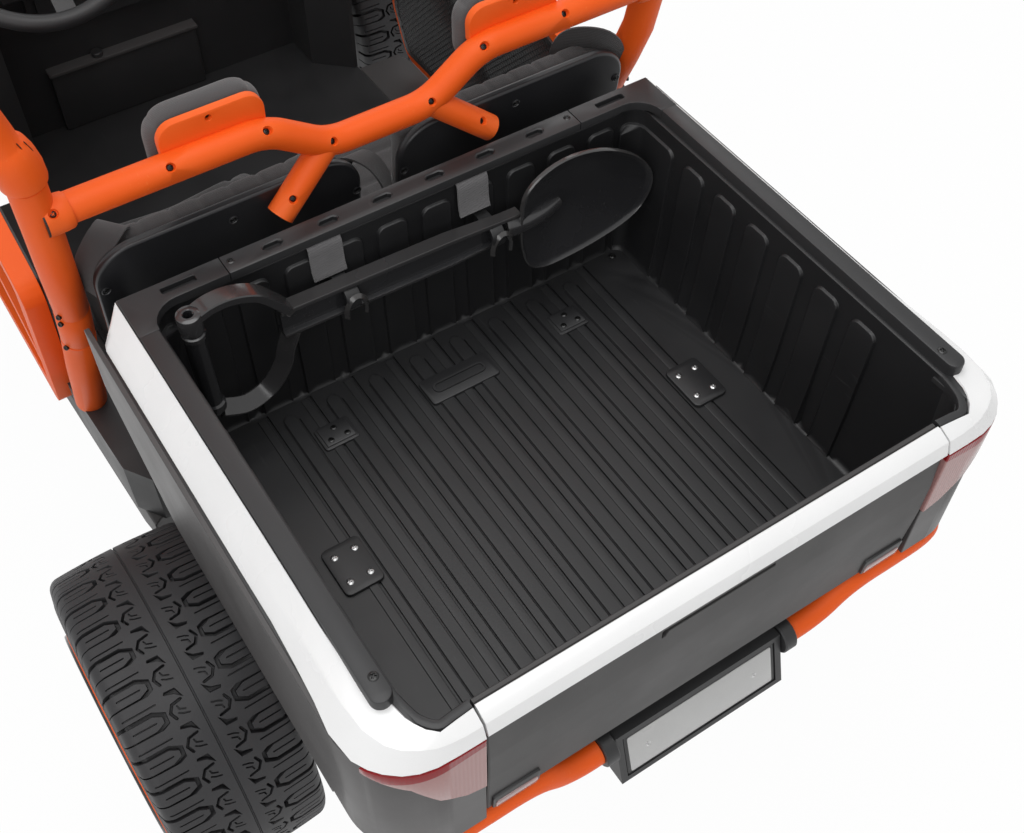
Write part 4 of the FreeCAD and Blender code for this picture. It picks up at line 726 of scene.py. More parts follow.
BODY_FINISH = {
    "bed_sides": (PANEL_GREY, 2.0),
    "tail_lamps": (TAIL_LENS, 1.6),
    "bed_tub": (BODY_BLACK, 2.0), "plate_holder": (BODY_BLACK, 1.2),
    "roof_rails": (CAGE_ORANGE, 0), "front_pillars": (CAGE_ORANGE, 0),
    "roof_bars": (CAGE_ORANGE, 0), "quarters": (BODY_BLACK, 3.0),
    "door_left": (CAGE_ORANGE, 2.2), "door_right": (CAGE_ORANGE, 2.2), "cowls": (BODY_BLACK, 3.0),
    "dash": (BODY_BLACK, 3.0), "steering_wheel": (BODY_BLACK, 0), "steering_column": (BODY_BLACK, 0),
    "bonnet": (CAP_WHITE, 5.0), "nose": (BODY_BLACK, 4.0), "front_fenders": (PANEL_GREY, 3.0),
    "grille": (BODY_BLACK, 1.2), "headlamps": (LAMP_CLEAR, 1.5), "front_bumper": (CAGE_ORANGE, 0),
    "seat_shells": (SHELL_BLACK, 3.5), "seat_base": (BODY_BLACK, 4.0), "battery": (TRIM_GREY, 2.0),
    "floor_pan": (BODY_BLACK, 1.0), "footwell": (BODY_BLACK, 2.0), "sills": (TRIM_GREY, 5.0),
    "frame": (PAINT_BLACK, 1.5), "front_beam": (PAINT_BLACK, 1.0), "knuckle_left": (PAINT_BLACK, 0.8),
    "knuckle_right": (PAINT_BLACK, 0.8), "tie_rod": (ZINC, 0), "rear_axle": (ZINC, 0),
    "gearboxes": (BODY_BLACK, 2.0), "rim_rear_left": (RIM_BLACK, 0), "rim_rear_right": (RIM_BLACK, 0),
    "rim_front_left": (RIM_BLACK, 0), "rim_front_right": (RIM_BLACK, 0),
    "shovel_clips": (BODY_BLACK, 0.8),
}


def soften(node, wide):
    """Rounds the edges of a solid as its mould does, by modifiers only."""
    weld = node.modifiers.new("weld", "WELD")
    weld.merge_threshold = 0.02 * MM
    flat = node.modifiers.new("flat_faces", "DECIMATE")
    flat.decimate_type = "DISSOLVE"
    flat.angle_limit = math.radians(0.5)
    flat.delimit = {"SHARP"}
    bevel = node.modifiers.new("soft_edges", "BEVEL")
    bevel.width = wide * MM
    bevel.segments = 3
    bevel.limit_method = "ANGLE"
    bevel.angle_limit = math.radians(38)
    bevel.use_clamp_overlap = True
    bevel.harden_normals = True


def dress_bodywork():
    for name, (finish, wide) in BODY_FINISH.items():
        node = NODES[name]
        node.data.materials.clear()
        node.data.materials.append(finish)
        if wide:
            soften(node, wide)


dress_bodywork()

# Tyres: a cut tread over each shoulder, and plain sidewalls

TYRE_RADIUS = 172.0
AXLE_Z = 172.0
TRACK_HALF = 372.0
LUGS = 32
PITCH = math.tau * TYRE_RADIUS / LUGS


def crown(v):
    """Where the tread's surface lies at a distance from the middle, as (across, radius)."""
    flat_end = 59.0
    camber = 2.4
    bend = 13.0
    most = math.radians(80)
    if v <= flat_end:
        return v, TYRE_RADIUS - camber * (v / flat_end) ** 2
    turn = (v - flat_end) / bend
    angle = min(turn, most)
    over = max(0.0, turn - most) * bend
    across = flat_end + bend * math.sin(angle) + over * math.cos(most)
    radius = TYRE_RADIUS - camber - bend * (1 - math.cos(angle)) - over * math.sin(most)
    return across, radius


TREAD_END = 90.0
SHOULDER_START = 57
SHOULDER_WIDE = 18
SEAM_DEPTH = 1.8
BEAD_RADIUS = 104.2
BEAD_HALF = 50.0
RIGHT_SHIFT = 6.0
TREAD_ROWS = [0, 0.5, 1.2, 5, 8, 14, 21, 28, 36, 44, 52, 59, 62, 65, 68, 71, 74, 77, 80, 85, TREAD_END]


def tread_cell():
    """One step of the pattern on one side: lug, rib and hooked block, cut round by grooves."""
    deep = [(0.35, -0.5), (0.6, -6.4)]
    slit = [(0.2, -0.4), (0.3, -2.6)]
    far = TREAD_END - 0.5
    shift = 3.5
    lug = stroke([(2.6, far), (3.4, 42.0), (8.2, 31.4), (16.2, 31.0), (21.2, 40.6), (20.6, far)], 4.4)
    hook = stroke([(7.2, 22.6), (13.8, 25.6), (20.4, 21.4), (22.0, 12.4)], 3.0)
    wedge = [(22.0, 8.6), (33.4, 12.6), (33.8, 23.4), (31.0, 24.6), (28.2, 15.4)]
    presses = [([(x, min(v, far)) for x, v in lug], deep), (hook, deep),
               (wedge[::-1], [(0.5, -0.6), (1.0, -6.4)])]
    for path in ([(12.3, 40.0), (12.2, 62.0)], [(27.6, 34.0), (27.2, 66.0)],
                 [(12.0, 12.0), (14.0, 17.0), (17.4, 18.0)], [(7.4, 10.0), (9.0, 15.5), (11.0, 19.0)]):
        presses.append((stroke(path, 1.7), slit))
    presses = [(cut_at([(x - shift, v) for x, v in shape], up=TREAD_ROWS), steps)
               for shape, steps in presses]
    columns = [PITCH * k / 4 for k in range(5)]
    outline = [(x, 0) for x in columns[:-1]]
    outline += [(PITCH, v) for v in TREAD_ROWS[:-1]]
    outline += [(x, TREAD_END) for x in reversed(columns[1:])]
    outline += [(0, v) for v in reversed(TREAD_ROWS[1:])]
    grid = [(PITCH * k / 8, v) for k in range(1, 8) for v in TREAD_ROWS[1:-1]]
    return pressed_faces(outline, presses, grid)


def on_crown(start, side, x, v, depth):
    """A point of the pattern laid on the tyre: pressed inwards on the flat, sideways at the shoulder."""
    across, radius = crown(v)
    along = (start + side * x) / TYRE_RADIUS
    lean = min(1.0, max(0.0, (v - SHOULDER_START) / SHOULDER_WIDE))
    across += depth * lean
    radius += depth * (1 - lean) - (SEAM_DEPTH if v < 0.6 else 0.0)
    return (radius * math.sin(along), side * across, radius * math.cos(along))


def wheel_ring(radius, y, steps, axle=(0.0, 0.0), offset=0.0):
    """Points round an axle, given as (x, z), at one y."""
    turns = [offset + math.tau * k / steps for k in range(steps)]
    return [(axle[0] + radius * math.sin(turn), y, axle[1] + radius * math.cos(turn)) for turn in turns]


def make_tread():
    """A tyre about its own centre: the pattern on both halves, the sidewalls and the bore."""
    tyre = Surface()
    cell = tread_cell()
    for side in (1, -1):
        shift = RIGHT_SHIFT if side < 0 else 0.0
        for lug in range(LUGS):
            for face in cell:
                tyre.face([on_crown(lug * PITCH + shift, side, *point) for point in face])
    steps = LUGS * 4
    across, radius = crown(TREAD_END)
    sidewall = [(radius, across), (radius - 1.5, across + 0.5), (142, across + 0.9), (132, 74.8),
                (124, 73.6), (123, 74.8), (120.5, 74.8), (119.5, 72.0), (113, 66.0), (106, 59.0),
                (BEAD_RADIUS, BEAD_HALF)]
    for side in (1, -1):
        offset = RIGHT_SHIFT / TYRE_RADIUS if side < 0 else 0.0
        tyre.bands([wheel_ring(reach, side * out, steps, offset=offset) for reach, out in sidewall])
    tyre.bands([wheel_ring(BEAD_RADIUS, out, steps) for out in (BEAD_HALF, -BEAD_HALF)])
    return tyre


WHEELS = {
    "rear_left": (-432.0, 1), "rear_right": (-432.0, -1),
    "front_left": (555.0, 1), "front_right": (555.0, -1),
}


def make_tyres():
    tread = make_tread()
    for name, (axle_x, side) in WHEELS.items():
        tyre = Surface()
        tyre.merge(tread, lambda p: (axle_x + p[0] * side, side * (TRACK_HALF + p[1]), AXLE_Z + p[2]))
        piece = make_piece("tread_" + name, tyre, RUBBER, "wheel_" + name,
                           ["tyre_" + name], join=0.05, crease=38)
        even_normals(piece)


def make_clamp_rings():
    """The orange ring that covers each rim's edge, with its bolts."""
    face = TRACK_HALF + 77.2
    bolts = 12
    bolt_circle = 100
    profile = [(85.5, -1.0), (86.0, 0.2), (88.0, 0.8), (108.0, 0.8), (112.0, 0.3), (114.8, -0.8),
               (116.0, -3.0), (116.0, -5.0), (114.0, -5.2), (113.0, -2.0), (108.0, -1.2), (88.0, -1.2)]
    for name, (axle_x, side) in WHEELS.items():
        ring = Surface()
        ring.bands([wheel_ring(radius, side * (face + along), 96, (axle_x, AXLE_Z))
                    for radius, along in profile + profile[:1]])
        for k in range(bolts):
            angle = math.tau * (k + 0.5) / bolts
            centre = (axle_x + bolt_circle * math.sin(angle), side * (face + 0.5),
                      AXLE_Z + bolt_circle * math.cos(angle))
            screw_head(ring, centre, (0, side, 0), 3.6, finish=1)
        make_piece("clamp_ring_" + name, ring, [CAGE_ORANGE, BLACK_SCREW], "wheel_" + name)


make_tyres()
make_clamp_rings()

# Load bed: the ribbed liner, its floor plates and the screws

BED_FRONT = -300.0
BED_REAR = -751.0
BED_HALF = 255.5
FLOOR_Z = 380.0
DRAFT = 9.5
DRAFT_HEIGHT = 200
RIB_STEP = 48.4
WALL_ROUND = 7.0
LEDGE = 186.0
LEDGE_STEPS = ((0, 0), (0.8, 0.7), (3.0, 1.0), (20.4, 1.2), (20.8, -10.0))


def bed_foot_path():
    """The line of the wall's foot from the rear left corner round the front to the rear right one,
    as (x, y, how far it faces sideways)."""
    radius = 16.0
    steps = 6
    left = [(BED_REAR, BED_HALF, 1.0)]
    for k in range(steps + 1):
        angle = math.radians(90 * k / steps)
        left.append((BED_FRONT - radius + radius * math.sin(angle),
                     BED_HALF - radius + radius * math.cos(angle), math.cos(angle)))
    return left + [(x, -y, sideways) for x, y, sideways in reversed(left)]


class WallLine:
    """Finds the point of the wall's foot at a distance along it."""

    def __init__(self):
        self.points = bed_foot_path()
        self.reach = [0.0]
        for a, b in zip(self.points, self.points[1:]):
            self.reach.append(self.reach[-1] + math.hypot(b[0] - a[0], b[1] - a[1]))

    def at(self, u):
        u = min(max(u, 0.0), self.reach[-1])
        i = max(k for k in range(len(self.reach) - 1) if self.reach[k] <= u + 1e-9)
        share = (u - self.reach[i]) / (self.reach[i + 1] - self.reach[i])
        a, b = self.points[i], self.points[i + 1]
        x, y, sideways = (p + (q - p) * share for p, q in zip(a, b))
        sign = 1 if y > 0 else -1
        normal = Vector((math.sqrt(max(0.0, 1 - sideways * sideways)), sign * sideways, 0))
        return Vector((x, y, 0)), normal, sideways


WALL_LINE = WallLine()


def wall_point(u, v, depth):
    """Distance along the foot, height above the floor, and how far the wall is pressed into the bed.
    Past LEDGE the surface runs out flat to the side caps, under the rails."""
    foot, normal, sideways = WALL_LINE.at(u)
    if v < WALL_ROUND:
        angle = math.radians(90 * v / WALL_ROUND)
        out = -WALL_ROUND + WALL_ROUND * math.sin(angle)
        z = FLOOR_Z + WALL_ROUND * (1 - math.cos(angle))
        out += sideways * DRAFT * v / DRAFT_HEIGHT
    else:
        out = sideways * DRAFT * min(v, LEDGE) / DRAFT_HEIGHT
        z = FLOOR_Z + min(v, LEDGE + 5 * (1 - sideways) if v > 180 else v)
    if v > LEDGE:
        reach, rise = LEDGE_STEPS[int(round(v - LEDGE))]
        out += reach * (0.7 + 0.3 * sideways)
        z += rise
    return tuple(foot + normal * (out - depth) + Vector((0, 0, z)))


def panel(start, end, top):
    return rounded_corners([(start, 1.2, 1.5), (end, 1.2, 1.5), (end, top, 9), (start, top, 9)], 5)


def wall_panels():
    """The raised upright panels, each with a rounded top, as outlines along the wall."""
    whole = WALL_LINE.reach[-1]
    middle = whole / 2
    wide = 32
    side_top = 170
    front_top = 176
    shapes = []
    for k in range(7):
        start = -362 - RIB_STEP * k - BED_REAR
        left_end = start + wide if k else middle - 244
        right_end = start + wide if k else middle - 240
        shapes.append(panel(start, left_end, side_top))
        shapes.append(panel(whole - right_end, whole - start, side_top))
    for k in range(-4, 6):
        shapes.append(panel(middle - RIB_STEP * k + 6, middle - RIB_STEP * k + 39, front_top))
    return shapes


def liner_marks():
    """How far along the wall its columns of points stand, closer together on the front wall."""
    whole = WALL_LINE.reach[-1]
    side_long = WALL_LINE.reach[1]
    marks = set(WALL_LINE.reach) | {side_long * k / 24 for k in range(25)}
    marks |= {whole - side_long * k / 24 for k in range(25)}
    marks |= {whole / 2 + 16.0 * k for k in range(-14, 15)}
    marks = sorted(marks)
    return [a for a, b in zip(marks, marks[1:] + [1e9]) if b - a > 0.01]


def floor_presses():
    """Ribs and fine grooves along the bed's floor. Each is low and high edge beside its line, how far
    its front end stands past the common one, corner radius, corner steps and press."""
    narrow = [(-4.6, 4.8, 9, 1.2, 2, [(0.3, 0.5), (0.9, 1.0)]),
              (-7.6, -5.0, 11, 1.2, 2, [(0.2, -0.5), (0.4, -2.4)])]
    broad = [(-7.2, 7.4, 0, 7.2, 6, [(0.25, 0.5), (0.6, 1.3), (1.2, 1.6)]),
             (-9.3, -7.6, -9, 0.8, 2, [(0.2, -0.4), (0.3, -1.9)]),
             (7.8, 8.9, -9, 0.5, 1, [(0.15, -0.3), (0.2, -1.2)])]
    rear = BED_REAR + 1
    front = BED_FRONT - 19
    presses = []
    for k in range(-4, 5):
        line = RIB_STEP * k
        shapes = [(line, shape) for shape in narrow]
        if k < 4:
            shapes += [(line + RIB_STEP / 2, shape) for shape in broad]
        for y, (low, high, past, radius, steps, press) in shapes:
            presses.append((rounded_box(rear, y + low, front + past, y + high, radius, steps), press))
    return presses


def make_liner():
    """The bed's lining: walls with pressed panels, the floor with its ribs, and the ledge on top."""
    liner = Surface()
    marks = liner_marks()
    rows = [0, 1.75, 3.5, 5.25, 7, 60, 120, 180] + [LEDGE + k for k in range(5)]
    outline = [(u, 0) for u in marks[:-1]] + [(marks[-1], v) for v in rows[:-1]]
    outline += [(u, rows[-1]) for u in reversed(marks[1:])] + [(0, v) for v in reversed(rows[1:])]
    grid = [(u, v) for u in marks[1:-1] for v in rows[1:-1]]
    lines = [[(u, v) for u in marks] for v in rows[7:-1]]
    steps = [(0.3, 0.3), (0.8, 2.4), (1.5, 3.0)]
    presses = [(cut_at(shape, up=rows[1:7], across=WALL_LINE.reach[1:-1]), steps)
               for shape in wall_panels()]
    pressed(liner, outline, presses, wall_point, grid, lines)
    foot_line = [wall_point(u, 0, 0)[:2] for u in marks]
    pressed(liner, foot_line, floor_presses(), lying_at(FLOOR_Z))
    piece = make_piece("bed_liner_moulding", liner, BED_BLACK, "body", ["bed_liner"],
                       join=0.05, crease=40)
    if sum(face.normal.z * face.area for face in piece.data.polygons) < 0:
        piece.data.flip_normals()
    thick = piece.modifiers.new("wall", "SOLIDIFY")
    thick.thickness = 3.6 * MM
    thick.offset = -1
    even_normals(piece)


def make_rails():
    """The raised rail along each side of the bed, and the cover on the front wall with its slots."""
    rails = Surface()
    rail = rounded_corners([(-729, 267.6, 8.8), (-302, 267.6, 0), (-302, 285.4, 0),
                            (-729, 285.4, 8.8)], 6)
    for side in (1, -1):
        plate_solid(rails, mirrored(rail, side), lying_at(566), 13.6, 1.6)
        screw_head(rails, (-708, side * 274.5, 579.2), UP, 4.2, finish=1)
    half = 285.4
    inner = []
    for k in range(7):
        angle = math.radians(15 * k)
        inner.append((-330 + 27 * math.sin(angle), 240 + 27 * math.cos(angle)))
    corner = [(-279.2, 189.3), (-279.2, half), (-330, half)] + inner + [(-302.8, 189.3)]
    long_slot = rounded_box(-294.5, 215.5, -286.5, 249, 1.5, 2)
    for side in (1, -1):
        plate_solid(rails, mirrored(corner, side), lying_at(571), 9, 1.0,
                    presses=[(mirrored(long_slot, side), [(0.4, -0.4), (0.7, -5.0)])])
        screw_head(rails, (-289, side * 181.5, 579.4), UP, 4.0, finish=1)
    slots = []
    for k in range(6):
        y = -141.5 + 56.6 * k
        slot = [(-285.5, y - 7), (-285.5, y + 7), (-289, y + 11), (-292, y + 11), (-295.5, y + 7),
                (-295.5, y - 7), (-292, y - 11), (-289, y - 11)]
        slots.append((slot, [(0.4, -0.5), (1.4, -1.0), (1.8, -4.5)]))
    middle = rounded_box(-302.8, -188.7, -279.2, 188.7, 0.8, 1)
    plate_solid(rails, middle, lying_at(571), 9, 1.0, presses=slots)
    make_piece("bed_rails", rails, [BED_BLACK, BLACK_SCREW], "body", ["bed_strip"],
               crease=34)


def on_bed_floor(x, y):
    """Places a plate flat on the bed's floor about a point."""
    return lambda across, up, height: (x + up, y - across, FLOOR_Z + height)


def make_floor_plates():
    plates = Surface()
    for side in (1, -1):
        place = on_bed_floor(BED_FRONT - 208, side * 200)
        plate_solid(plates, rounded_box(-20, -27.5, 20, 27.5, 6), place, 4.0, 1.4)
        for up in (-15, 15):
            for across in (-10.5, 10.5):
                screw_head(plates, place(across, up, 3.9), UP, 3.6, finish=1)
        place = on_bed_floor(BED_FRONT - 66, side * 139)
        outline = rounded_box(-19, -15, 19, 15, 4)
        plate_solid(plates, outline, place, 2.6, 1.0)
        plate_solid(plates, inset(outline, 3), lambda a, b, h: place(a, b, h + 2.4), 1.6, 0.8)
        for across, up in ((-9, -6), (9, -6), (0, 6.5)):
            screw_head(plates, place(across, up, 3.9), UP, 3.2, finish=2)
    place = on_bed_floor(BED_FRONT - 72, 0)
    plate_solid(plates, rounded_box(-40, -17, 40, 17, 4), place, 3.4, 1.0)
    ridge = rounded_box(-31, -7, 31, 7, 6.9, 6)
    hollow = inset(ridge, 3)
    rings = [(ridge, 3.0), (inset(ridge, 0.5), 4.8), (inset(ridge, 2.5), 4.8), (hollow, 3.3)]
    plates.bands([[place(a, b, h) for a, b in ring] for ring, h in rings])
    for face in flat_fill(hollow, []):
        plates.face([place(a, b, 3.3) for a, b in face])
    for back, y, radius in ((14, 236, 4.0), (428, 240, 3.4)):
        for side in (1, -1):
            screw_head(plates, (BED_FRONT - back, side * y, FLOOR_Z + 0.5), UP, radius, finish=2)
    make_piece("bed_floor_plates", plates, [BED_BLACK, ZINC, BLACK_SCREW], "body")


make_liner()
make_rails()
make_floor_plates()

# Cage behind the seats: crossbar, its braces, and the rear posts

TUBE_SIDES = 28
WELL_RADIUS = 4.4
WELL_DEPTH = 4.6
WELL_HEAD = 2.9


def tube_sheet(surface, stations, sunk=()):
    """A capped tube through stations, each (point, radius), with a screw in a well under each point
    of sunk."""
    frames = path_frames([point for point, radius in stations])
    reach = [0.0]
    for a, b in zip(frames, frames[1:]):
        reach.append(reach[-1] + (b[0] - a[0]).length)
    widest = max(radius for point, radius in stations)
    around = math.tau * widest

    def place(u, v, depth):
        i = max(k for k in range(len(reach) - 1) if reach[k] <= u + 1e-6)
        share = (u - reach[i]) / (reach[i + 1] - reach[i])
        point, side, rise = (a.lerp(b, share) for a, b in zip(frames[i], frames[i + 1]))
        radius = stations[i][1] + (stations[i + 1][1] - stations[i][1]) * share + depth
        angle = v / widest
        return tuple(point + (side * math.cos(angle) + rise * math.sin(angle)) * radius)

    def run_beside(target):
        """The run of the tube whose middle lies most nearly abreast of the target."""
        close = []
        for i, (a, b) in enumerate(zip(frames, frames[1:])):
            run = b[0] - a[0]
            if (target - (a[0] + b[0]) / 2).length < 1.2 * run.length + 30:
                close.append((abs((target - a[0]).dot(run.normalized()) - run.length / 2), i))
        return min(close)[1]

    presses = []
    for target in map(Vector, sunk):
        best = run_beside(target)
        point, side, rise = frames[best]
        way = (frames[best + 1][0] - point).normalized()
        away = target - point
        u = reach[best] + away.dot(way)
        v = (math.atan2(away.dot(rise), away.dot(side)) % math.tau) * widest
        presses.append((circle(u, v, WELL_RADIUS, 14), [(0.25, -0.5), (0.45, -WELL_DEPTH)]))
        normal = Vector(place(u, v, 1.0)) - Vector(place(u, v, 0.0))
        screw_head(surface, place(u, v, 0.2 - WELL_DEPTH), normal, WELL_HEAD, finish=1)

    def is_clear(u, v):
        return not any(abs(u - well[0][0]) < 12 and inside(inset(well, -0.7), [(u, v)])[0]
                       for well, steps in presses)

    rows = [around * k / TUBE_SIDES for k in range(TUBE_SIDES + 1)]
    outline = [(u, 0) for u in reach[:-1]] + [(reach[-1], v) for v in rows[:-1]]
    outline += [(u, around) for u in reversed(reach[1:])] + [(0, v) for v in reversed(rows[1:])]
    grid = [(u, v) for u in reach[1:-1] for v in rows[1:-1] if is_clear(u, v)]
    pressed(surface, outline, presses, place, grid)
    surface.face([place(0, v, 0) for v in rows[:-1]])
    surface.face([place(reach[-1], v, 0) for v in reversed(rows[:-1])])


def bent(corners, radius, steps=8):
    """The corners of a path in the plane across the machine, rounded, as (across, up) points."""
    ends = [(*corners[0], 0)] + [(*corner, radius) for corner in corners[1:-1]] + [(*corners[-1], 0)]
    return rounded_corners(ends, steps)


BAR_X = -240.0
BAR_Z = 660.0
BAR_RADIUS = 14.0


def make_crossbar():
    """The bar behind the seats with its dip, a brace down to the bed on each side, and end saddles."""
    bar = Surface()
    half = [(53, 620), (111, 660), (307, 660)]
    path = bent([(-y, z) for y, z in half[::-1]] + half, 62)
    runs = []
    for a, b in zip(path, path[1:]):
        parts = max(1, int(math.dist(a, b) / 24))
        for k in range(parts):
            runs.append((a[0] + (b[0] - a[0]) * k / parts, a[1] + (b[1] - a[1]) * k / parts))
    stations = [((BAR_X, y, z), BAR_RADIUS) for y, z in runs + path[-1:]]
    sunk = [(-250.5, side * y, z) for side in (1, -1) for y, z in ((202, 669), (111, 668), (52, 629))]
    tube_sheet(bar, stations, sunk)
    for side in (1, -1):
        foot = Vector((-252, side * 115, 572))
        head = Vector((BAR_X, side * 55, 622))
        brace = [(tuple(head.lerp(foot, k / 4)), 13.2) for k in range(5)]
        tube_sheet(bar, brace, [tuple(foot.lerp(head, 0.22) + Vector((-11, side * 1, 8)))])
        saddle_x = BAR_X - 1.5
        saddle = [((saddle_x, side * y, BAR_Z), radius)
                  for y, radius in ((290, 14.4), (292, 16.0), (298, 16.6), (313, 17.0))]
        tube_sheet(bar, saddle, [(-253.0, side * 305.5, 670.5)])
        spun(bar, [(16.2, 0), (16.2, 1.6)], (saddle_x, side * 313, BAR_Z), (0, side, 0), 28, finish=1)
    make_piece("cage_crossbar", bar, [CAGE_ORANGE, BLACK_SCREW], "body", ["crossbar"],
               crease=42)


# Stations of the left post as (x, y, z, radius): the thick foot tube, the collar, the thinner tube
POST_FOOT = [
    (-107, 316, 284, 14.0), (-108, 316, 286, 17.0), (-137, 314, 372, 17.0),
    (-166.2, 311.5, 444.0, 17.0), (-166.8, 311.5, 445.2, 15.9), (-167.4, 311.5, 446.8, 15.9),
    (-168, 311.5, 448, 16.7), (-187.6, 311, 502, 16.7), (-188, 311, 503.2, 15.9),
    (-188.6, 311, 504.8, 15.9), (-189, 311, 506, 16.5), (-208, 313, 552, 16.5),
    (-225, 315, 599, 16.5), (-234, 315.5, 643, 16.5), (-239.8, 316, 698.4, 16.5),
    (-239.9, 316, 698.8, 14.6), (-239.9, 316, 700.6, 14.6), (-240, 316, 701.0, 19.2),
]
POST_COLLAR = [
    (-240, 316.2, 704, 20.0), (-241, 317, 715, 20.4), (-242, 319.5, 728, 20.2), (-243, 322, 738, 18.8),
    (-243.4, 323, 742, 16.6), (-243.6, 323.6, 744, 15.6),
]
POST_HEAD = [
    (-244, 326, 756, 15.5), (-244, 330.5, 776, 15.5), (-242, 330, 796, 15.5), (-235, 321, 818, 15.5),
    (-227, 311, 838, 15.5), (-218.6, 301.5, 857, 15.5),
]


def make_posts():
    """Each post is one tube with two seams in its foot, four fine seams down its collar and screws."""
    posts = Surface()
    seam = square_box(-0.3, -0.5, 0.3, 0.12)
    back = Vector((-0.757, 0, 0.654))
    for side in (1, -1):
        stations = POST_FOOT + POST_COLLAR + POST_HEAD
        tube_sheet(posts, [((x, side * y, z), size) for x, y, z, size in stations])
        aside = Vector((0, side, 0))
        for turn in (-52, -28, 28, 52):
            facing = back * math.cos(math.radians(turn)) + aside * math.sin(math.radians(turn))
            line = [Vector((x, side * y, z)) + facing * (size + 0.02) for x, y, z, size in POST_COLLAR[:4]]
            swept(posts, line, seam, finish=1)
        for x, y, z in ((-203, 327, 512), (-197, 327, 497), (-176, 328, 444)):
            screw_head(posts, (x, side * y, z), (-0.6, side * 0.75, 0.2), 2.6, finish=1)
    make_piece("cage_rear_posts", posts, [CAGE_ORANGE, BLACK_SCREW], "body",
               ["rear_posts"], crease=42)


def make_headrest_plates():
    plates = Surface()
    shape = rounded_corners([(-49, 664, 0), (49, 664, 0), (50, 697, 17), (-50, 697, 17)], 6)
    for side in (1, -1):
        outline = [(side * 154 + y, z) for y, z in shape]
        hole = circle(side * 156, 690, 3.4, 14)
        plate_solid(plates, outline, facing_back(-226.4), 7.8, 1.6,
                    presses=[(hole, [(0.3, -0.5), (0.5, -4.5)])])
        screw_head(plates, (-229.9, side * 156, 690), (-1, 0, 0), 2.5, finish=1)
    make_piece("headrest_brackets", plates, [CAGE_ORANGE, BLACK_SCREW], "body",
               ["headrest_plates"])


make_crossbar()
make_posts()
make_headrest_plates()

# Rear corners of the bed, and the tail

# Each station of a cap: its inner edge, its crease and its foot, as (x, y, z) on the left side
CAP_STATIONS = [
    ((-279.6, 286.4, 579), (-280.2, 288.5, 575), (-280.2, 292.5, 546)),
    ((-283, 286.2, 579), (-284, 295, 566), (-284, 303.4, 546)),
    ((-290, 286.2, 579), (-291, 299.5, 562), (-290.5, 308.6, 546)),
    ((-298, 286.2, 579), (-299, 301, 560.2), (-298, 310.6, 546)),
    ((-420, 286.2, 579), (-420, 301, 560), (-420, 310.7, 546)),
    ((-560, 286.2, 579), (-560, 301, 560.4), (-560, 310.7, 546)),
    ((-610, 286.2, 578.4), (-612, 300.4, 562), (-612, 310.6, 546)),
    ((-650, 286, 575.6), (-655, 300.5, 565), (-655, 312.5, 546)),
    ((-680, 284.5, 571.5), (-686, 300.5, 566.8), (-686, 314.5, 546)),
    ((-704, 281, 569), (-710, 300.5, 567), (-714, 317.8, 546)),
    ((-722, 273, 568.8), (-733, 298, 567.8), (-740.5, 314.2, 546)),
    ((-735, 270.5, 568.8), (-751, 291, 567.8), (-752, 307.8, 546)),
    ((-741, 269.4, 568.8), (-760.5, 283, 567.4), (-760.4, 300.8, 546)),
    ((-748, 266.6, 568.6), (-767, 272, 566.2), (-769, 290.4, 546)),
    ((-756, 262, 568), (-770.6, 262, 563.6), (-774.2, 279.4, 546)),
    ((-763, 254.5, 567.2), (-772.2, 252, 561.8), (-777.2, 266, 546)),
    ((-761, 240, 566.4), (-773, 240, 560.8), (-777.9, 248, 546)),
    ((-759.6, 225.8, 566.2), (-773, 225.8, 560.5), (-777.9, 225.8, 546)),
]


def make_caps():
    """The white moulding over each side wall: it falls away outwards and widens round the rear corner."""
    caps = Surface()
    for side in (1, -1):
        rings = []
        for row in CAP_STATIONS:
            inner, crease, foot = (Vector((x, side * y, z)) for x, y, z in row)
            under = inner.lerp(foot, 0.12)
            ring = [Vector((under.x, under.y, foot.z)), Vector((inner.x, inner.y, inner.z - 1.2)),
                    inner.lerp(crease, 0.04), inner.lerp(crease, 0.12) - Vector((0, 0, 0.05)),
                    inner.lerp(crease, 0.9), crease.lerp(foot, 0.03) - Vector((0, 0, 0.1)),
                    crease.lerp(foot, 0.12), crease.lerp(foot, 0.94), foot.lerp(under, 0.04)]
            rings.append([tuple(point) for point in ring])
        caps.bands(rings, capped=True)
    make_piece("side_caps", caps, CAP_WHITE, "body", ["bed_caps"], crease=26)


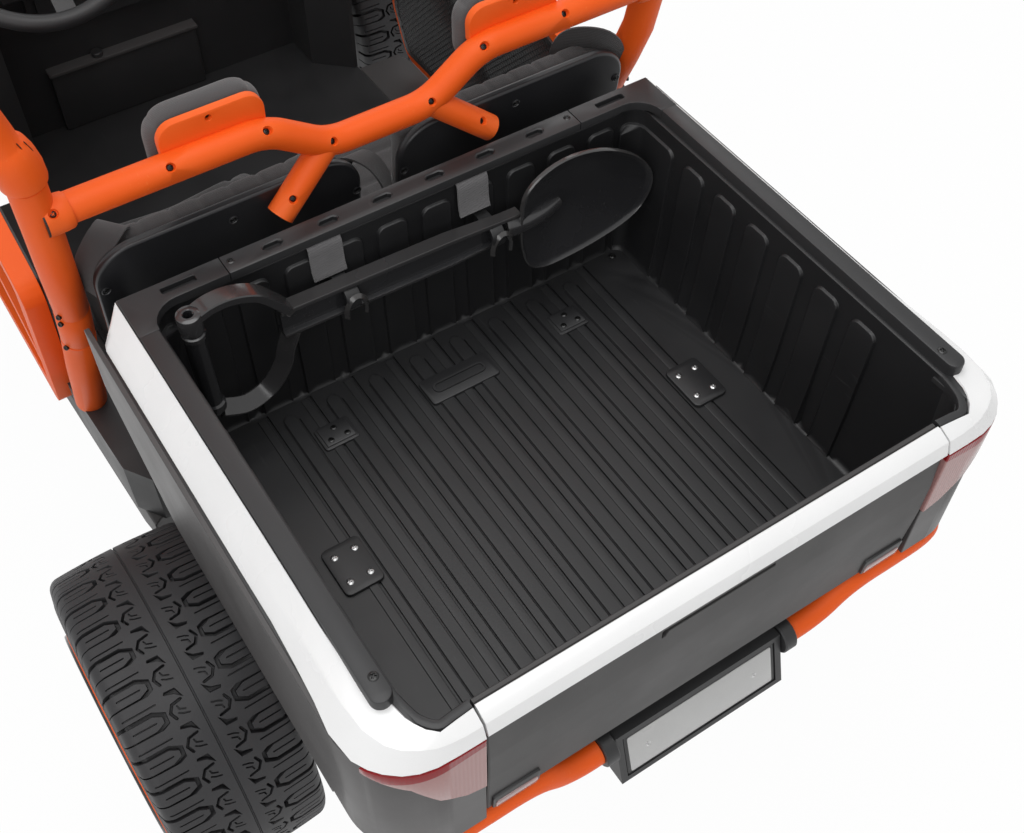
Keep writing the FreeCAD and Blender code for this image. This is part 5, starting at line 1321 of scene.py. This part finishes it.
def make_corner_trims():
    """In each rear corner the black rim along the white cap, the wall that turns in to the tailgate and
    the shelf between them, and along each side a dark backing behind the cap's foot."""
    trims = Surface()
    section = [(-4, -4), (4, -4), (4, 1.6), (3.2, 2.8), (1.6, 3.4), (-1.6, 3.4), (-3.2, 2.8), (-4, 1.6)]
    rim = [(-718, 268.6, 563.6), (-734, 265.8, 563.6), (-747, 261.8, 563.4), (-757.4, 252.6, 563.2),
           (-757, 241, 563), (-755.8, 226, 562.8)]
    foot = [(-724, 258), (-738, 257.4), (-746, 253.5), (-750.6, 246), (-751.6, 236), (-751.6, 224.4)]
    head = [(-716, 266), (-736, 263), (-747, 258.6), (-754, 250), (-755, 240), (-754.6, 226)]
    shelf = [(-716, 262), (-735, 262.5), (-746, 258), (-753.6, 249.6), (-753.4, 226), (-759.6, 226),
             (-761, 240), (-763, 254.5), (-756, 262.0), (-748, 266.6), (-741, 269.4), (-735, 270.5),
             (-716, 284)]
    for side in (1, -1):
        swept(trims, smooth_path([(x, side * y, z) for x, y, z in rim], 4), section)
        rings = []
        for line, z in ((foot, FLOOR_Z - 1), (head, 561)):
            inner = [(x, side * y, z) for x, y in line]
            outer = [(x - 1.6, side * (y + 2.2), z) for x, y in line]
            rings.append(inner + outer[::-1])
        trims.bands(rings, capped=True)
        plate_solid(trims, mirrored(shelf, side), lying_at(556), 5.0, 0.4)
        plate_solid(trims, mirrored(square_box(-700, 299, -300, 314), side), lying_at(533), 12, 0.4)
    make_piece("bed_corner_trims", trims, BED_BLACK, "body", crease=34)


GATE_HALF = 223.5
GATE_ROWS = [396.8, 398.0, 430, 460, 464, 500, 504, 531, 540, 544.8]


def gate_face(z):
    """How far back the tailgate's outer face stands at a height: two soft creases and a drawn-in foot."""
    rows = ((396, -770.2), (398, -771.8), (462, -775.6), (502, -776.0), (546, -773.2))
    for (low, a), (high, b) in zip(rows, rows[1:]):
        if z <= high:
            return a + (b - a) * (z - low) / (high - low)
    return rows[-1][1]


def make_tailgate():
    """The gate with its creased outer face and pull slot, its back, two reflectors and two hinge pins."""
    gate = Surface()
    columns = [-GATE_HALF + 1.5 + (2 * GATE_HALF - 3) * k / 16 for k in range(17)]
    columns = [-GATE_HALF] + columns + [GATE_HALF]
    outline = [(y, GATE_ROWS[0]) for y in columns[:-1]] + [(GATE_HALF, z) for z in GATE_ROWS[:-1]]
    outline += [(y, GATE_ROWS[-1]) for y in reversed(columns[1:])]
    outline += [(-GATE_HALF, z) for z in reversed(GATE_ROWS[1:])]
    slot = rounded_corners([(-45, 530.5, 1), (60, 530.5, 1), (63, 525.5, 1), (67, 525.5, 1), (67, 535.5, 2),
                            (-45, 535.5, 1)], 2)

    def place(y, z, depth):
        edge = 1.0 if abs(y) > GATE_HALF - 0.1 else 0.0
        return (gate_face(z) - depth + edge, y, z)

    grid = [(y, z) for y in columns[1:-1] for z in GATE_ROWS[1:-1]]
    lines = [[(y, z) for y in columns] for z in GATE_ROWS[1:-1] if not 524 < z < 539]
    pressed(gate, outline, [(slot, [(0.3, -0.6), (0.5, -7.0)])], place, grid, lines)
    outer = [(gate_face(z) + 1.0, z) for z in GATE_ROWS]
    foot = [(outer[0][0] + 1.5, 396.0)]
    inner = [(-753.2, 396.0), (-752.2, 397.0), (-752.2, 562.8), (-753.4, 564.6), (-756.4, 564.6),
             (-757.6, 563.2), (-757.6, 545.2)]
    for y, turn in ((GATE_HALF, 1), (-GATE_HALF, -1)):
        gate.face([(x, y, z) for x, z in outer + inner[::-1] + foot][::turn])
    across = foot + inner + [(gate_face(GATE_ROWS[-1]) + 0.2, GATE_ROWS[-1])]
    start = [(gate_face(GATE_ROWS[0]), GATE_ROWS[0])]
    for (ax, az), (bx, bz) in zip(start + across[:-1], across):
        for ya, yb in zip(columns, columns[1:]):
            gate.face([(ax, ya, az), (ax, yb, az), (bx, yb, bz), (bx, ya, bz)])
    frame_edge = rounded_corners([(174, 398.4, 2), (219, 398.4, 2), (219, 421, 3), (174, 421, 3)], 2)
    lens_edge = rounded_corners([(176.5, 399.6, 2), (216.5, 399.6, 2), (216.5, 411.5, 3),
                                 (176.5, 411.5, 3)], 2)
    for side in (1, -1):
        for edge, thick, finish, sunk in ((frame_edge, 3.2, 1, 0.6), (lens_edge, 2.2, 2, -1.4)):
            shape = [(side * y, z) for y, z in edge][::side]
            plate_solid(gate, shape, lambda a, b, h: (gate_face(b) + sunk - h, a, b), thick, 0.8, finish)
    for pin_y in (146, -170):
        spun(gate, [(2, 0), (2, 24)], (-768.6, pin_y, 398.6), (0, 1, 0), 14)
    make_piece("tailgate_panel", gate, [GATE_GREY, BODY_BLACK, REFLECTOR_PALE], "tailgate",
               ["tailgate"], crease=24)


def make_gate_cap():
    """The white cap along the tailgate: a level top, a crease, and a band that leans in to the crease."""
    cap = Surface()
    section = [(-758.4, 545.2), (-758.4, 565.6), (-759, 566.2), (-761.6, 566.2), (-771.6, 561.6),
               (-773, 560.6), (-773.6, 559.4), (-776.9, 547), (-776.4, 545.4)]
    bar_across(cap, section, GATE_HALF + 0.2)
    make_piece("gate_cap", cap, CAP_WHITE, "tailgate", ["tailgate_cap"], crease=26)


def make_tail_panel():
    """The panel under the tailgate with its hinge eyes, drawn in so that it lies in the gate's shadow."""
    panel_under = Surface()
    section = [(-763.5, 376), (-763.5, 393), (-752, 393), (-752, 374.5), (-749.4, 374.5), (-749.4, 389.8),
               (-760.4, 389.8), (-760.4, 376)]
    bar_across(panel_under, section, 224.8)
    for side in (1, -1):
        for y in (side * 150.5, side * 161):
            spun(panel_under, [(4.4, 0), (4.4, 4.5)], (-764.2, y, 397.5), (0, 1, 0), 16)
    make_piece("tail_panel", panel_under, BODY_BLACK, "body", ["rear_panel"])


def make_bumper():
    """The orange tubes on each side of the plate, and the black collars that hold their ends."""
    tubes = Surface()
    collars = Surface()
    corners = [(-764, 106.6, 349), (-764, 126, 349.5), (-764, 146, 356), (-764, 166, 370),
               (-764, 190, 376.5), (-764, 225, 377), (-763, 262, 377), (-757, 280, 377.5),
               (-738, 291, 378), (-700, 292, 378)]
    collar = [(13.2, 0), (16.2, 0), (17.4, 1.2), (17.4, 12.4), (16.2, 13.6), (13.2, 13.6)]
    arm = [(-764, 348), (-722, 348), (-712, 338), (-712, 266)]
    for side, collar_y in ((1, 92.8), (-1, -92.8 - 13.6)):
        path = smooth_path([(x, side * y, z) for x, y, z in corners], 4)
        tube_sheet(tubes, [(tuple(p), 13.0) for p in path])
        spun(collars, collar, (-764, collar_y, 349), (0, 1, 0), 32)
        swept(collars, [(x, side * 99.6, z) for x, z in arm], rounded_box(-6.8, -9, 6.8, 9, 2, 2))
    make_piece("bumper_tubes", tubes, CAGE_ORANGE, "body", ["rear_bumper"], crease=42)
    make_piece("bumper_collars", collars, BODY_BLACK, "body", ["bumper_brackets"])


make_caps()
make_corner_trims()
make_tailgate()
make_gate_cap()
make_tail_panel()
make_bumper()

# Shovel on the front wall


SHOVEL_X = -326.0
SHOVEL_LEAN = 4.0 / 127.0


def shovel_handle(tool):
    """The shaft, the two arms that open out of it, and the grip between their ends."""
    x = SHOVEL_X
    shaft = [(-7, -17), (7, -17), (8, -15), (8, -13), (3.5, -11.5), (3.5, 11.5), (8, 13), (8, 16),
             (7, 17.5), (-7, 17.5), (-8, 16), (-8, 13), (-3.5, 11.5), (-3.5, -11.5), (-8, -13), (-8, -15)]
    rings = []
    for y in (160, 150, 60, -20, -80, -100):
        z = 518 + (y - 30) * SHOVEL_LEAN
        squeeze = 1.0 if y > -70 else 0.8
        rings.append([(x + a * squeeze, y, z + b * squeeze) for a, b in shaft])
    tool.bands(rings, capped=True)
    upper = [(x, 150, 534), (x, 160, 548), (x - 1, 178, 570), (x - 2, 200, 581), (x - 3, 220, 583),
             (x - 4, 236, 579)]
    lower = [(x, 150, 506), (x, 158, 488), (x - 1, 166, 466), (x - 2, 184, 446), (x - 4, 210, 440),
             (x - 5, 234, 451)]
    arm = [(-8, -4.6), (8, -4.6), (9, -3.4), (9, 3.4), (8, 4.6), (-8, 4.6), (-9, 3.4), (-9, -3.4)]
    for path in (upper, lower):
        swept(tool, smooth_path(path, 5), arm)
    grip = [(6, -74), (9.5, -71), (11, -66), (11, -58), (9, -56), (9, 34), (11, 36), (11, 41), (9.4, 42),
            (9.4, 45), (11.2, 46), (11.6, 62), (10.8, 64.6), (9, 65.6), (5.4, 65.6), (4.6, 64.8), (4.6, 48),
            (0.1, 48)]
    spun(tool, grip, (x - 4, 240, 520), (-0.03, 0.02, 1), 28)


def shovel_arches(tool):
    """The two arches over the shaft that hold it in its clips."""
    x = SHOVEL_X
    for y in (88, -74):
        z = 507 + (y - 88) * SHOVEL_LEAN
        arch = smooth_path([(x - 11, y + 10, z - 7), (x - 12, y + 10, z + 4), (x - 12.5, y + 6, z + 13.5),
                            (x - 12.5, y, z + 17), (x - 12.5, y - 6, z + 13.5), (x - 12, y - 10, z + 4),
                            (x - 11, y - 10, z - 9)], 4)
        swept(tool, arch, [(-2.4, -2), (2.4, -2), (2.4, 1.2), (1.4, 2), (-1.4, 2), (-2.4, 1.2)])


def shovel_blade(tool):
    """The dished blade with its rim, and the socket that joins it to the shaft."""
    x = SHOVEL_X
    blade_edge = [(-96, 522), (-98, 548), (-110, 566), (-135, 578), (-165, 579), (-198, 569), (-230, 548),
                  (-252, 522), (-258, 500), (-250, 478), (-232, 462), (-200, 452), (-160, 446), (-124, 446),
                  (-106, 458), (-98, 484), (-96, 506)]
    edge = smooth_path([(x, y, z) for y, z in blade_edge], 3, closed=True)
    middle = Vector((x, -172, 512))
    front, back = [], []
    for share in (1.0, 0.985, 0.95, 0.9, 0.8, 0.65, 0.45, 0.25, 0.08):
        dish = -15.0 * (1 - share ** 2) + (2.0 if 0.96 < share < 0.99 else 0.0)
        points = [middle + (point - middle) * share for point in edge]
        for rings, behind in ((front, 9), (back, 6)):
            rings.append([(x - behind - 4 * share - dish * 0.9 + 0.02 * (p.y + 170), p.y, p.z)
                          for p in points])
    tool.bands(front[::-1] + back, capped=True)
    socket = smooth_path([(x, -84, 514), (x - 3, -104, 513), (x - 2, -126, 512), (x + 4, -150, 512)], 4)
    swept(tool, socket, circle(0, 0, 11, 14), scale=[1.15 - 0.045 * k for k in range(len(socket))])


def make_shovel():
    tool = Surface()
    shovel_handle(tool)
    shovel_arches(tool)
    shovel_blade(tool)
    make_piece("bed_shovel", tool, SHOVEL_BLACK, "body", ["shovel"], crease=36)


make_shovel()

# Soft goods: cushions, backs and headrest pads

SHELL_X = -203
NO_SEAM = 99


def block_surface(low, high, steps, round_corners):
    """A closed box of fine squares whose corners are drawn in to round ones."""
    low, high = Vector(low), Vector(high)
    size = high - low
    counts = [max(2, int(size[i] / steps)) for i in range(3)]
    made = Surface()
    centre = (low + high) / 2
    half = size / 2

    def shape(point):
        p = Vector(point) - centre
        core = Vector(max(-h + round_corners, min(h - round_corners, c)) for c, h in zip(p, half))
        away = p - core
        if away.length > 1e-6:
            away = away.normalized() * min(away.length, round_corners)
        return tuple(centre + core + away)

    for axis in range(3):
        i, j = (axis + 1) % 3, (axis + 2) % 3
        for end, flip in ((low, True), (high, False)):
            for a in range(counts[i]):
                for b in range(counts[j]):
                    quad = []
                    for da, db in ((0, 0), (1, 0), (1, 1), (0, 1)):
                        p = [0, 0, 0]
                        p[axis] = end[axis]
                        p[i] = low[i] + size[i] * (a + da) / counts[i]
                        p[j] = low[j] + size[j] * (b + db) / counts[j]
                        quad.append(shape(p))
                    made.face(quad[::-1] if flip else quad)
    return made


def puff(piece, cap):
    """Blows the cover up by cloth simulation, and holds each point within a cap of where it started."""
    frames = 20
    start = np.array([v.co for v in piece.data.vertices], float)
    cover = piece.modifiers.new("cover", "CLOTH")
    cover.settings.use_pressure = True
    cover.settings.uniform_pressure_force = 4.0
    cover.settings.quality = 5
    cover.settings.mass = 0.3
    cover.settings.tension_stiffness = 25
    cover.settings.compression_stiffness = 25
    cover.settings.shear_stiffness = 8
    cover.settings.bending_stiffness = 0.8
    cover.settings.effector_weights.gravity = 0
    cover.point_cache.frame_start = 1
    cover.point_cache.frame_end = frames
    scene = bpy.context.scene
    for number in range(1, frames + 1):
        scene.frame_set(number)
    reached = piece.evaluated_get(bpy.context.evaluated_depsgraph_get())
    end = np.array([v.co for v in reached.to_mesh().vertices], float)
    reached.to_mesh_clear()
    piece.modifiers.remove(cover)
    scene.frame_set(1)
    moved = end - start
    far = np.linalg.norm(moved, axis=1)
    share = np.minimum(1.0, cap * MM / np.maximum(far, 1e-9))
    piece.data.vertices.foreach_set("co", (start + moved * share[:, None]).astype(np.float32).ravel())
    piece.data.update()


def sew(piece, lines, deep, wide, facing):
    """Draws sewn channels into a cover: lines gives a point's distance from the nearest seam in mm."""
    mesh = piece.data
    normals = [v.normal.copy() for v in mesh.vertices]
    for vertex, normal in zip(mesh.vertices, normals):
        if normal.dot(Vector(facing)) < 0.35:
            continue
        away = lines(vertex.co / MM)
        vertex.co -= normal * (deep * MM * math.exp(-(away / wide) ** 2))
    mesh.update()


def soft_piece(name, low, high, finish, nodes, cap, step=7.0, corner=16.0, lean=None):
    surface = block_surface(low, high, step, corner)
    piece = make_piece(name, surface, finish, "body", nodes, crease=180)
    puff(piece, cap)
    if lean:
        for vertex in piece.data.vertices:
            vertex.co.x += lean(vertex.co.z / MM) * MM
    return piece


def subdivide(piece):
    modifier = piece.modifiers.new("fine", "SUBSURF")
    modifier.levels = 1
    modifier.render_levels = 1
    depsgraph = bpy.context.evaluated_depsgraph_get()
    mesh = bpy.data.meshes.new_from_object(piece.evaluated_get(depsgraph))
    piece.modifiers.remove(modifier)
    piece.data = mesh


def cushion_seams(point):
    """Distance to the nearest sewn channel of a seat cushion: a centre panel with cross channels."""
    panel_half = 78
    pitch = 44
    across = abs(abs(point.y) - 137)
    edge = abs(across - panel_half)
    if across < panel_half:
        cross = abs((point.x + 400) % pitch - pitch / 2)
        return min(edge, pitch / 2 - cross if cross > pitch / 4 else NO_SEAM)
    return edge


def back_seams(point):
    """Distance to the nearest upright channel of a seat back."""
    pitch = 30
    from_middle = abs(point.y) - 156
    across = (from_middle + pitch / 2) % pitch
    return min(across, pitch - across) if abs(from_middle) < 112 else NO_SEAM


def seat_lean(z):
    """How far back the leaning seat shell stands at a height, against its foot at SHELL_X."""
    return -37.0 * (z - 318.0) / 277.0


def round_corners(piece, middle_y, middle_z, half_y, half_z, radius):
    """Draws a pad's four outer corners in, so that it looks rounded from the front."""
    for vertex in piece.data.vertices:
        y = vertex.co.y / MM - middle_y
        z = vertex.co.z / MM - middle_z
        over_y = abs(y) - (half_y - radius)
        over_z = abs(z) - (half_z - radius)
        if over_y > 0 and over_z > 0:
            share = max(over_y, over_z) / math.hypot(over_y, over_z)
            vertex.co.y = (middle_y + math.copysign(half_y - radius + over_y * share, y)) * MM
            vertex.co.z = (middle_z + math.copysign(half_z - radius + over_z * share, z)) * MM
    piece.data.update()


def make_seats():
    for side, name in ((1, "left"), (-1, "right")):
        near, far = sorted((side * 21.5, side * 252.5))
        cushion = soft_piece("seat_cushion_" + name, (-148, near, 321), (65, far, 360), SEAT_CLOTH,
                             ["seat_cushions"], 7)
        subdivide(cushion)
        sew(cushion, cushion_seams, 3.0, 4.0, UP)
        near, far = sorted((side * 30.0, side * 282.0))
        back = soft_piece("seat_back_" + name, (-189, near, 322), (-157, far, 586), SEAT_CLOTH,
                          ["seat_backs"], 4, corner=11.0, lean=seat_lean)
        subdivide(back)
        sew(back, back_seams, 1.8, 2.6, (0.6, 0, 0.8))
        near, far = sorted((side * 100.5, side * 209.5))
        pad = soft_piece("headrest_pad_" + name, (-223.5, near, 624), (-202, far, 702), PAD_CLOTH,
                         ["headrest_pads"], 4, step=5.0, corner=9.0)
        round_corners(pad, side * 155, 663, 54.5, 39, 27)
        subdivide(pad)


make_seats()

# Webbing, small screws, the box on the firewall, the door inserts and the plate


def webbing(half):
    """The section of a flat band of cloth."""
    return square_box(-half, -1.1, half, 1.1)


def make_straps():
    """The two straps that hang over the front wall, and the belts over each seat's corners."""
    straps = Surface()
    for y in (97, -62):
        strap = [(-286, y, 571.5), (-296, y, 571.0), (-303.2, y, 566), (-304.5, y, 552), (-305.5, y, 540),
                 (-308, y, 531)]
        swept(straps, smooth_path(strap, 4), webbing(17))
    belt = [(-184, 244, 540), (-190, 248, 574), (-200, 253, 590), (-213, 263, 596), (-220, 276, 590),
            (-217, 289, 568), (-208, 293.5, 534)]
    for side in (1, -1):
        swept(straps, smooth_path([(x, side * y, z) for x, y, z in belt], 4), webbing(14), finish=1)
    loop = [(-176, 18, 520), (-198, 17, 556), (-216, 13, 570), (-230, 4, 566), (-237, -4, 545),
            (-236, -6, 520)]
    swept(straps, smooth_path(loop, 4), webbing(12), finish=1)
    make_piece("wall_straps", straps, [STRAP_CLOTH, SEAT_CLOTH], "body", ["webbing"])


make_straps()


def make_shell_screws():
    """The screws at the corners of each seat shell, each in a round washer."""
    screws = Surface()
    washer = [(4.6, 0), (4.6, 0.7), (3.9, 1.2), (3.4, 0.5), (3.4, -1.2), (0.1, -1.2)]
    facing = (-0.99, 0, -0.13)
    for side in (1, -1):
        for y, z in ((155, 575), (283, 551), (26.5, 545)):
            x = SHELL_X + seat_lean(z) - 0.4
            spun(screws, washer, (x + 0.2, side * y, z), facing, 20)
            screw_head(screws, (x - 0.1, side * y, z), facing, 2.5, finish=1)
    make_piece("seat_shell_screws", screws, [SHELL_BLACK, BLACK_SCREW], "body")


make_shell_screws()


def make_firewall_box():
    """The shallow box low on the firewall, with a paler ledge and a knob."""
    box = Surface()
    firewall = facing_back(443)
    plate_solid(box, rounded_box(-60, 213, 152, 305, 4), firewall, 13, 1.5)
    plate_solid(box, rounded_box(-62, 304, 154, 309.5, 1.5, 2), firewall, 18, 1.0, finish=1)
    spun(box, [(8, 0), (8, 6), (7.2, 7.2), (4, 7.6)], (435, 82, 309), UP, 24)
    make_piece("firewall_box", box, [BODY_BLACK, TRIM_GREY], "body")


make_firewall_box()


def door_lattice(name, side, body):
    """The woven insert behind each door's bars: crossing strips with open cells."""
    lattice = Surface()
    y = side * 320.2
    half = 1.4
    step = 9.0
    outline = rounded_corners([(-52 + 13, 245, 16), (290, 245, 16), (317, 306, 16), (317, 529, 10),
                               (266, 543, 10), (104, 543, 22), (-100.8, 466, 10)])
    border = inset(outline, 7)
    for depth in (-half, half):
        for face in flat_fill(outline, [border]):
            lattice.face([(a, y + depth, b) for a, b in face])
    for ring, first, last in ((outline, -half, half), (border, half, -half)):
        lattice.bands([[(a, y + depth, b) for a, b in ring] for depth in (first, last)])
    strip = square_box(-1.5, -0.55, 1.5, 0.55)
    inner = inset(outline, 5)
    for slope in (1, -1):
        shift = slope * 0.35
        for k in range(-60, 110):
            offset = k * step
            marks = []
            for (ax, az), (bx, bz) in zip(inner, inner[1:] + inner[:1]):
                da = az - slope * ax - offset
                db = bz - slope * bx - offset
                if da * db < 0:
                    t = da / (da - db)
                    marks.append((ax + (bx - ax) * t, az + (bz - az) * t))
            if len(marks) == 2 and math.dist(*marks) >= 6:
                swept(lattice, [(a, y + shift, b) for a, b in marks], strip)
    make_piece(name, lattice, BODY_BLACK, body, [name.replace("lattice", "mesh")])


door_lattice("door_lattice_left", 1, "door_left")
door_lattice("door_lattice_right", -1, "door_right")


def make_plate():
    """A plate with nothing on it, screwed to the leaning holder."""
    plate = Surface()
    rise = Vector((0.2873, 0, 0.9578))
    outward = Vector((-0.9578, 0, 0.2873))

    def place(across, up, height):
        return tuple(Vector((-788, across, 303)) + rise * up + outward * (height - 1.9))

    plate_solid(plate, rounded_box(-84, 5.5, 84, 57, 3), place, 1.0, 0.4, finish=1)
    plate_solid(plate, rounded_box(-80.5, 8.5, 80.5, 54, 2), lambda a, b, h: place(a, b, h + 0.9), 0.7, 0.3)
    for side in (1, -1):
        screw_head(plate, place(side * 60, 31, 1.3), outward, 3.0, finish=2)
    make_piece("blank_plate", plate, [PLATE_FACE, BODY_BLACK, ZINC], "body")


make_plate()

# White floor and studio light


def make_floor():
    """A white floor with a soft contact shadow: it glows where the camera sees it."""
    far = 9000
    level = -0.5
    floor = Surface()
    floor.face([(x, y, level) for x, y in square_box(-far, -far, far, far)])
    piece = bpy.data.objects.new("studio_floor", finish_mesh("studio_floor", floor, [], outward=False))
    bpy.context.scene.collection.objects.link(piece)
    material, nodes, shader = new_material("studio_floor")
    speckle = nodes.add("ShaderNodeTexNoise", Scale=40.0)
    nodes.put(nodes.blend(nodes.spread(speckle.outputs[0], 0.3, 0.7), colour(0.8, 0.8, 0.8),
                          colour(0.82, 0.82, 0.82)), shader.inputs["Base Color"])
    shader.inputs["Roughness"].default_value = 0.9
    glow = nodes.add("ShaderNodeEmission", Color=colour(1, 1, 1), Strength=1.0)
    seen = nodes.add("ShaderNodeLightPath")
    direct = nodes.sum("MAXIMUM", seen.outputs["Is Camera Ray"], seen.outputs["Is Glossy Ray"])
    direct = nodes.sum("MAXIMUM", direct, seen.outputs["Is Transmission Ray"])
    share = nodes.sum("MULTIPLY", direct, 0.97)
    mix = nodes.add("ShaderNodeMixShader")
    nodes.put(share, mix.inputs[0])
    nodes.put(shader.outputs[0], mix.inputs[1])
    nodes.put(glow.outputs[0], mix.inputs[2])
    nodes.put(mix.outputs[0], material.node_tree.nodes["Material Output"].inputs[0])
    piece.data.materials.append(material)


def make_world():
    """A white surround that lights the piece at half strength but shows as full white."""
    world = bpy.data.worlds.new("studio")
    bpy.context.scene.world = world
    world.use_nodes = True
    nodes = Nodes(world.node_tree)
    seen = nodes.add("ShaderNodeLightPath")
    direct = nodes.sum("MAXIMUM", seen.outputs["Is Camera Ray"], seen.outputs["Is Transmission Ray"])
    direct = nodes.sum("MAXIMUM", direct, nodes.sum("MULTIPLY", seen.outputs["Is Glossy Ray"], 0.5))
    white = world.node_tree.nodes["Background"]
    white.inputs[0].default_value = (1, 1, 1, 1)
    nodes.put(nodes.spread(direct, 0.0, 1.0, 0.5, 1.0), white.inputs[1])


def make_lamps():
    """Square lamps, each with its place and aim in metres, its size in metres and its power in watts."""
    for name, place, aim, size, power in (
            ("lamp_over", (-0.5, 0.3, 3.0), (-0.2, 0, 0.4), 2.4, 42),
            ("lamp_rear_left", (-2.6, 1.9, 2.0), (-0.3, 0, 0.4), 1.8, 20),
            ("lamp_front", (2.2, -1.6, 2.4), (0, 0, 0.4), 1.6, 16)):
        lamp = bpy.data.lights.new(name, "AREA")
        lamp.shape = "SQUARE"
        lamp.size = size
        lamp.energy = power
        light = bpy.data.objects.new(name, lamp)
        way = Vector(aim) - Vector(place)
        light.rotation_euler = way.to_track_quat("-Z", "Y").to_euler()
        light.location = place
        bpy.context.scene.collection.objects.link(light)


make_floor()
make_world()
make_lamps()
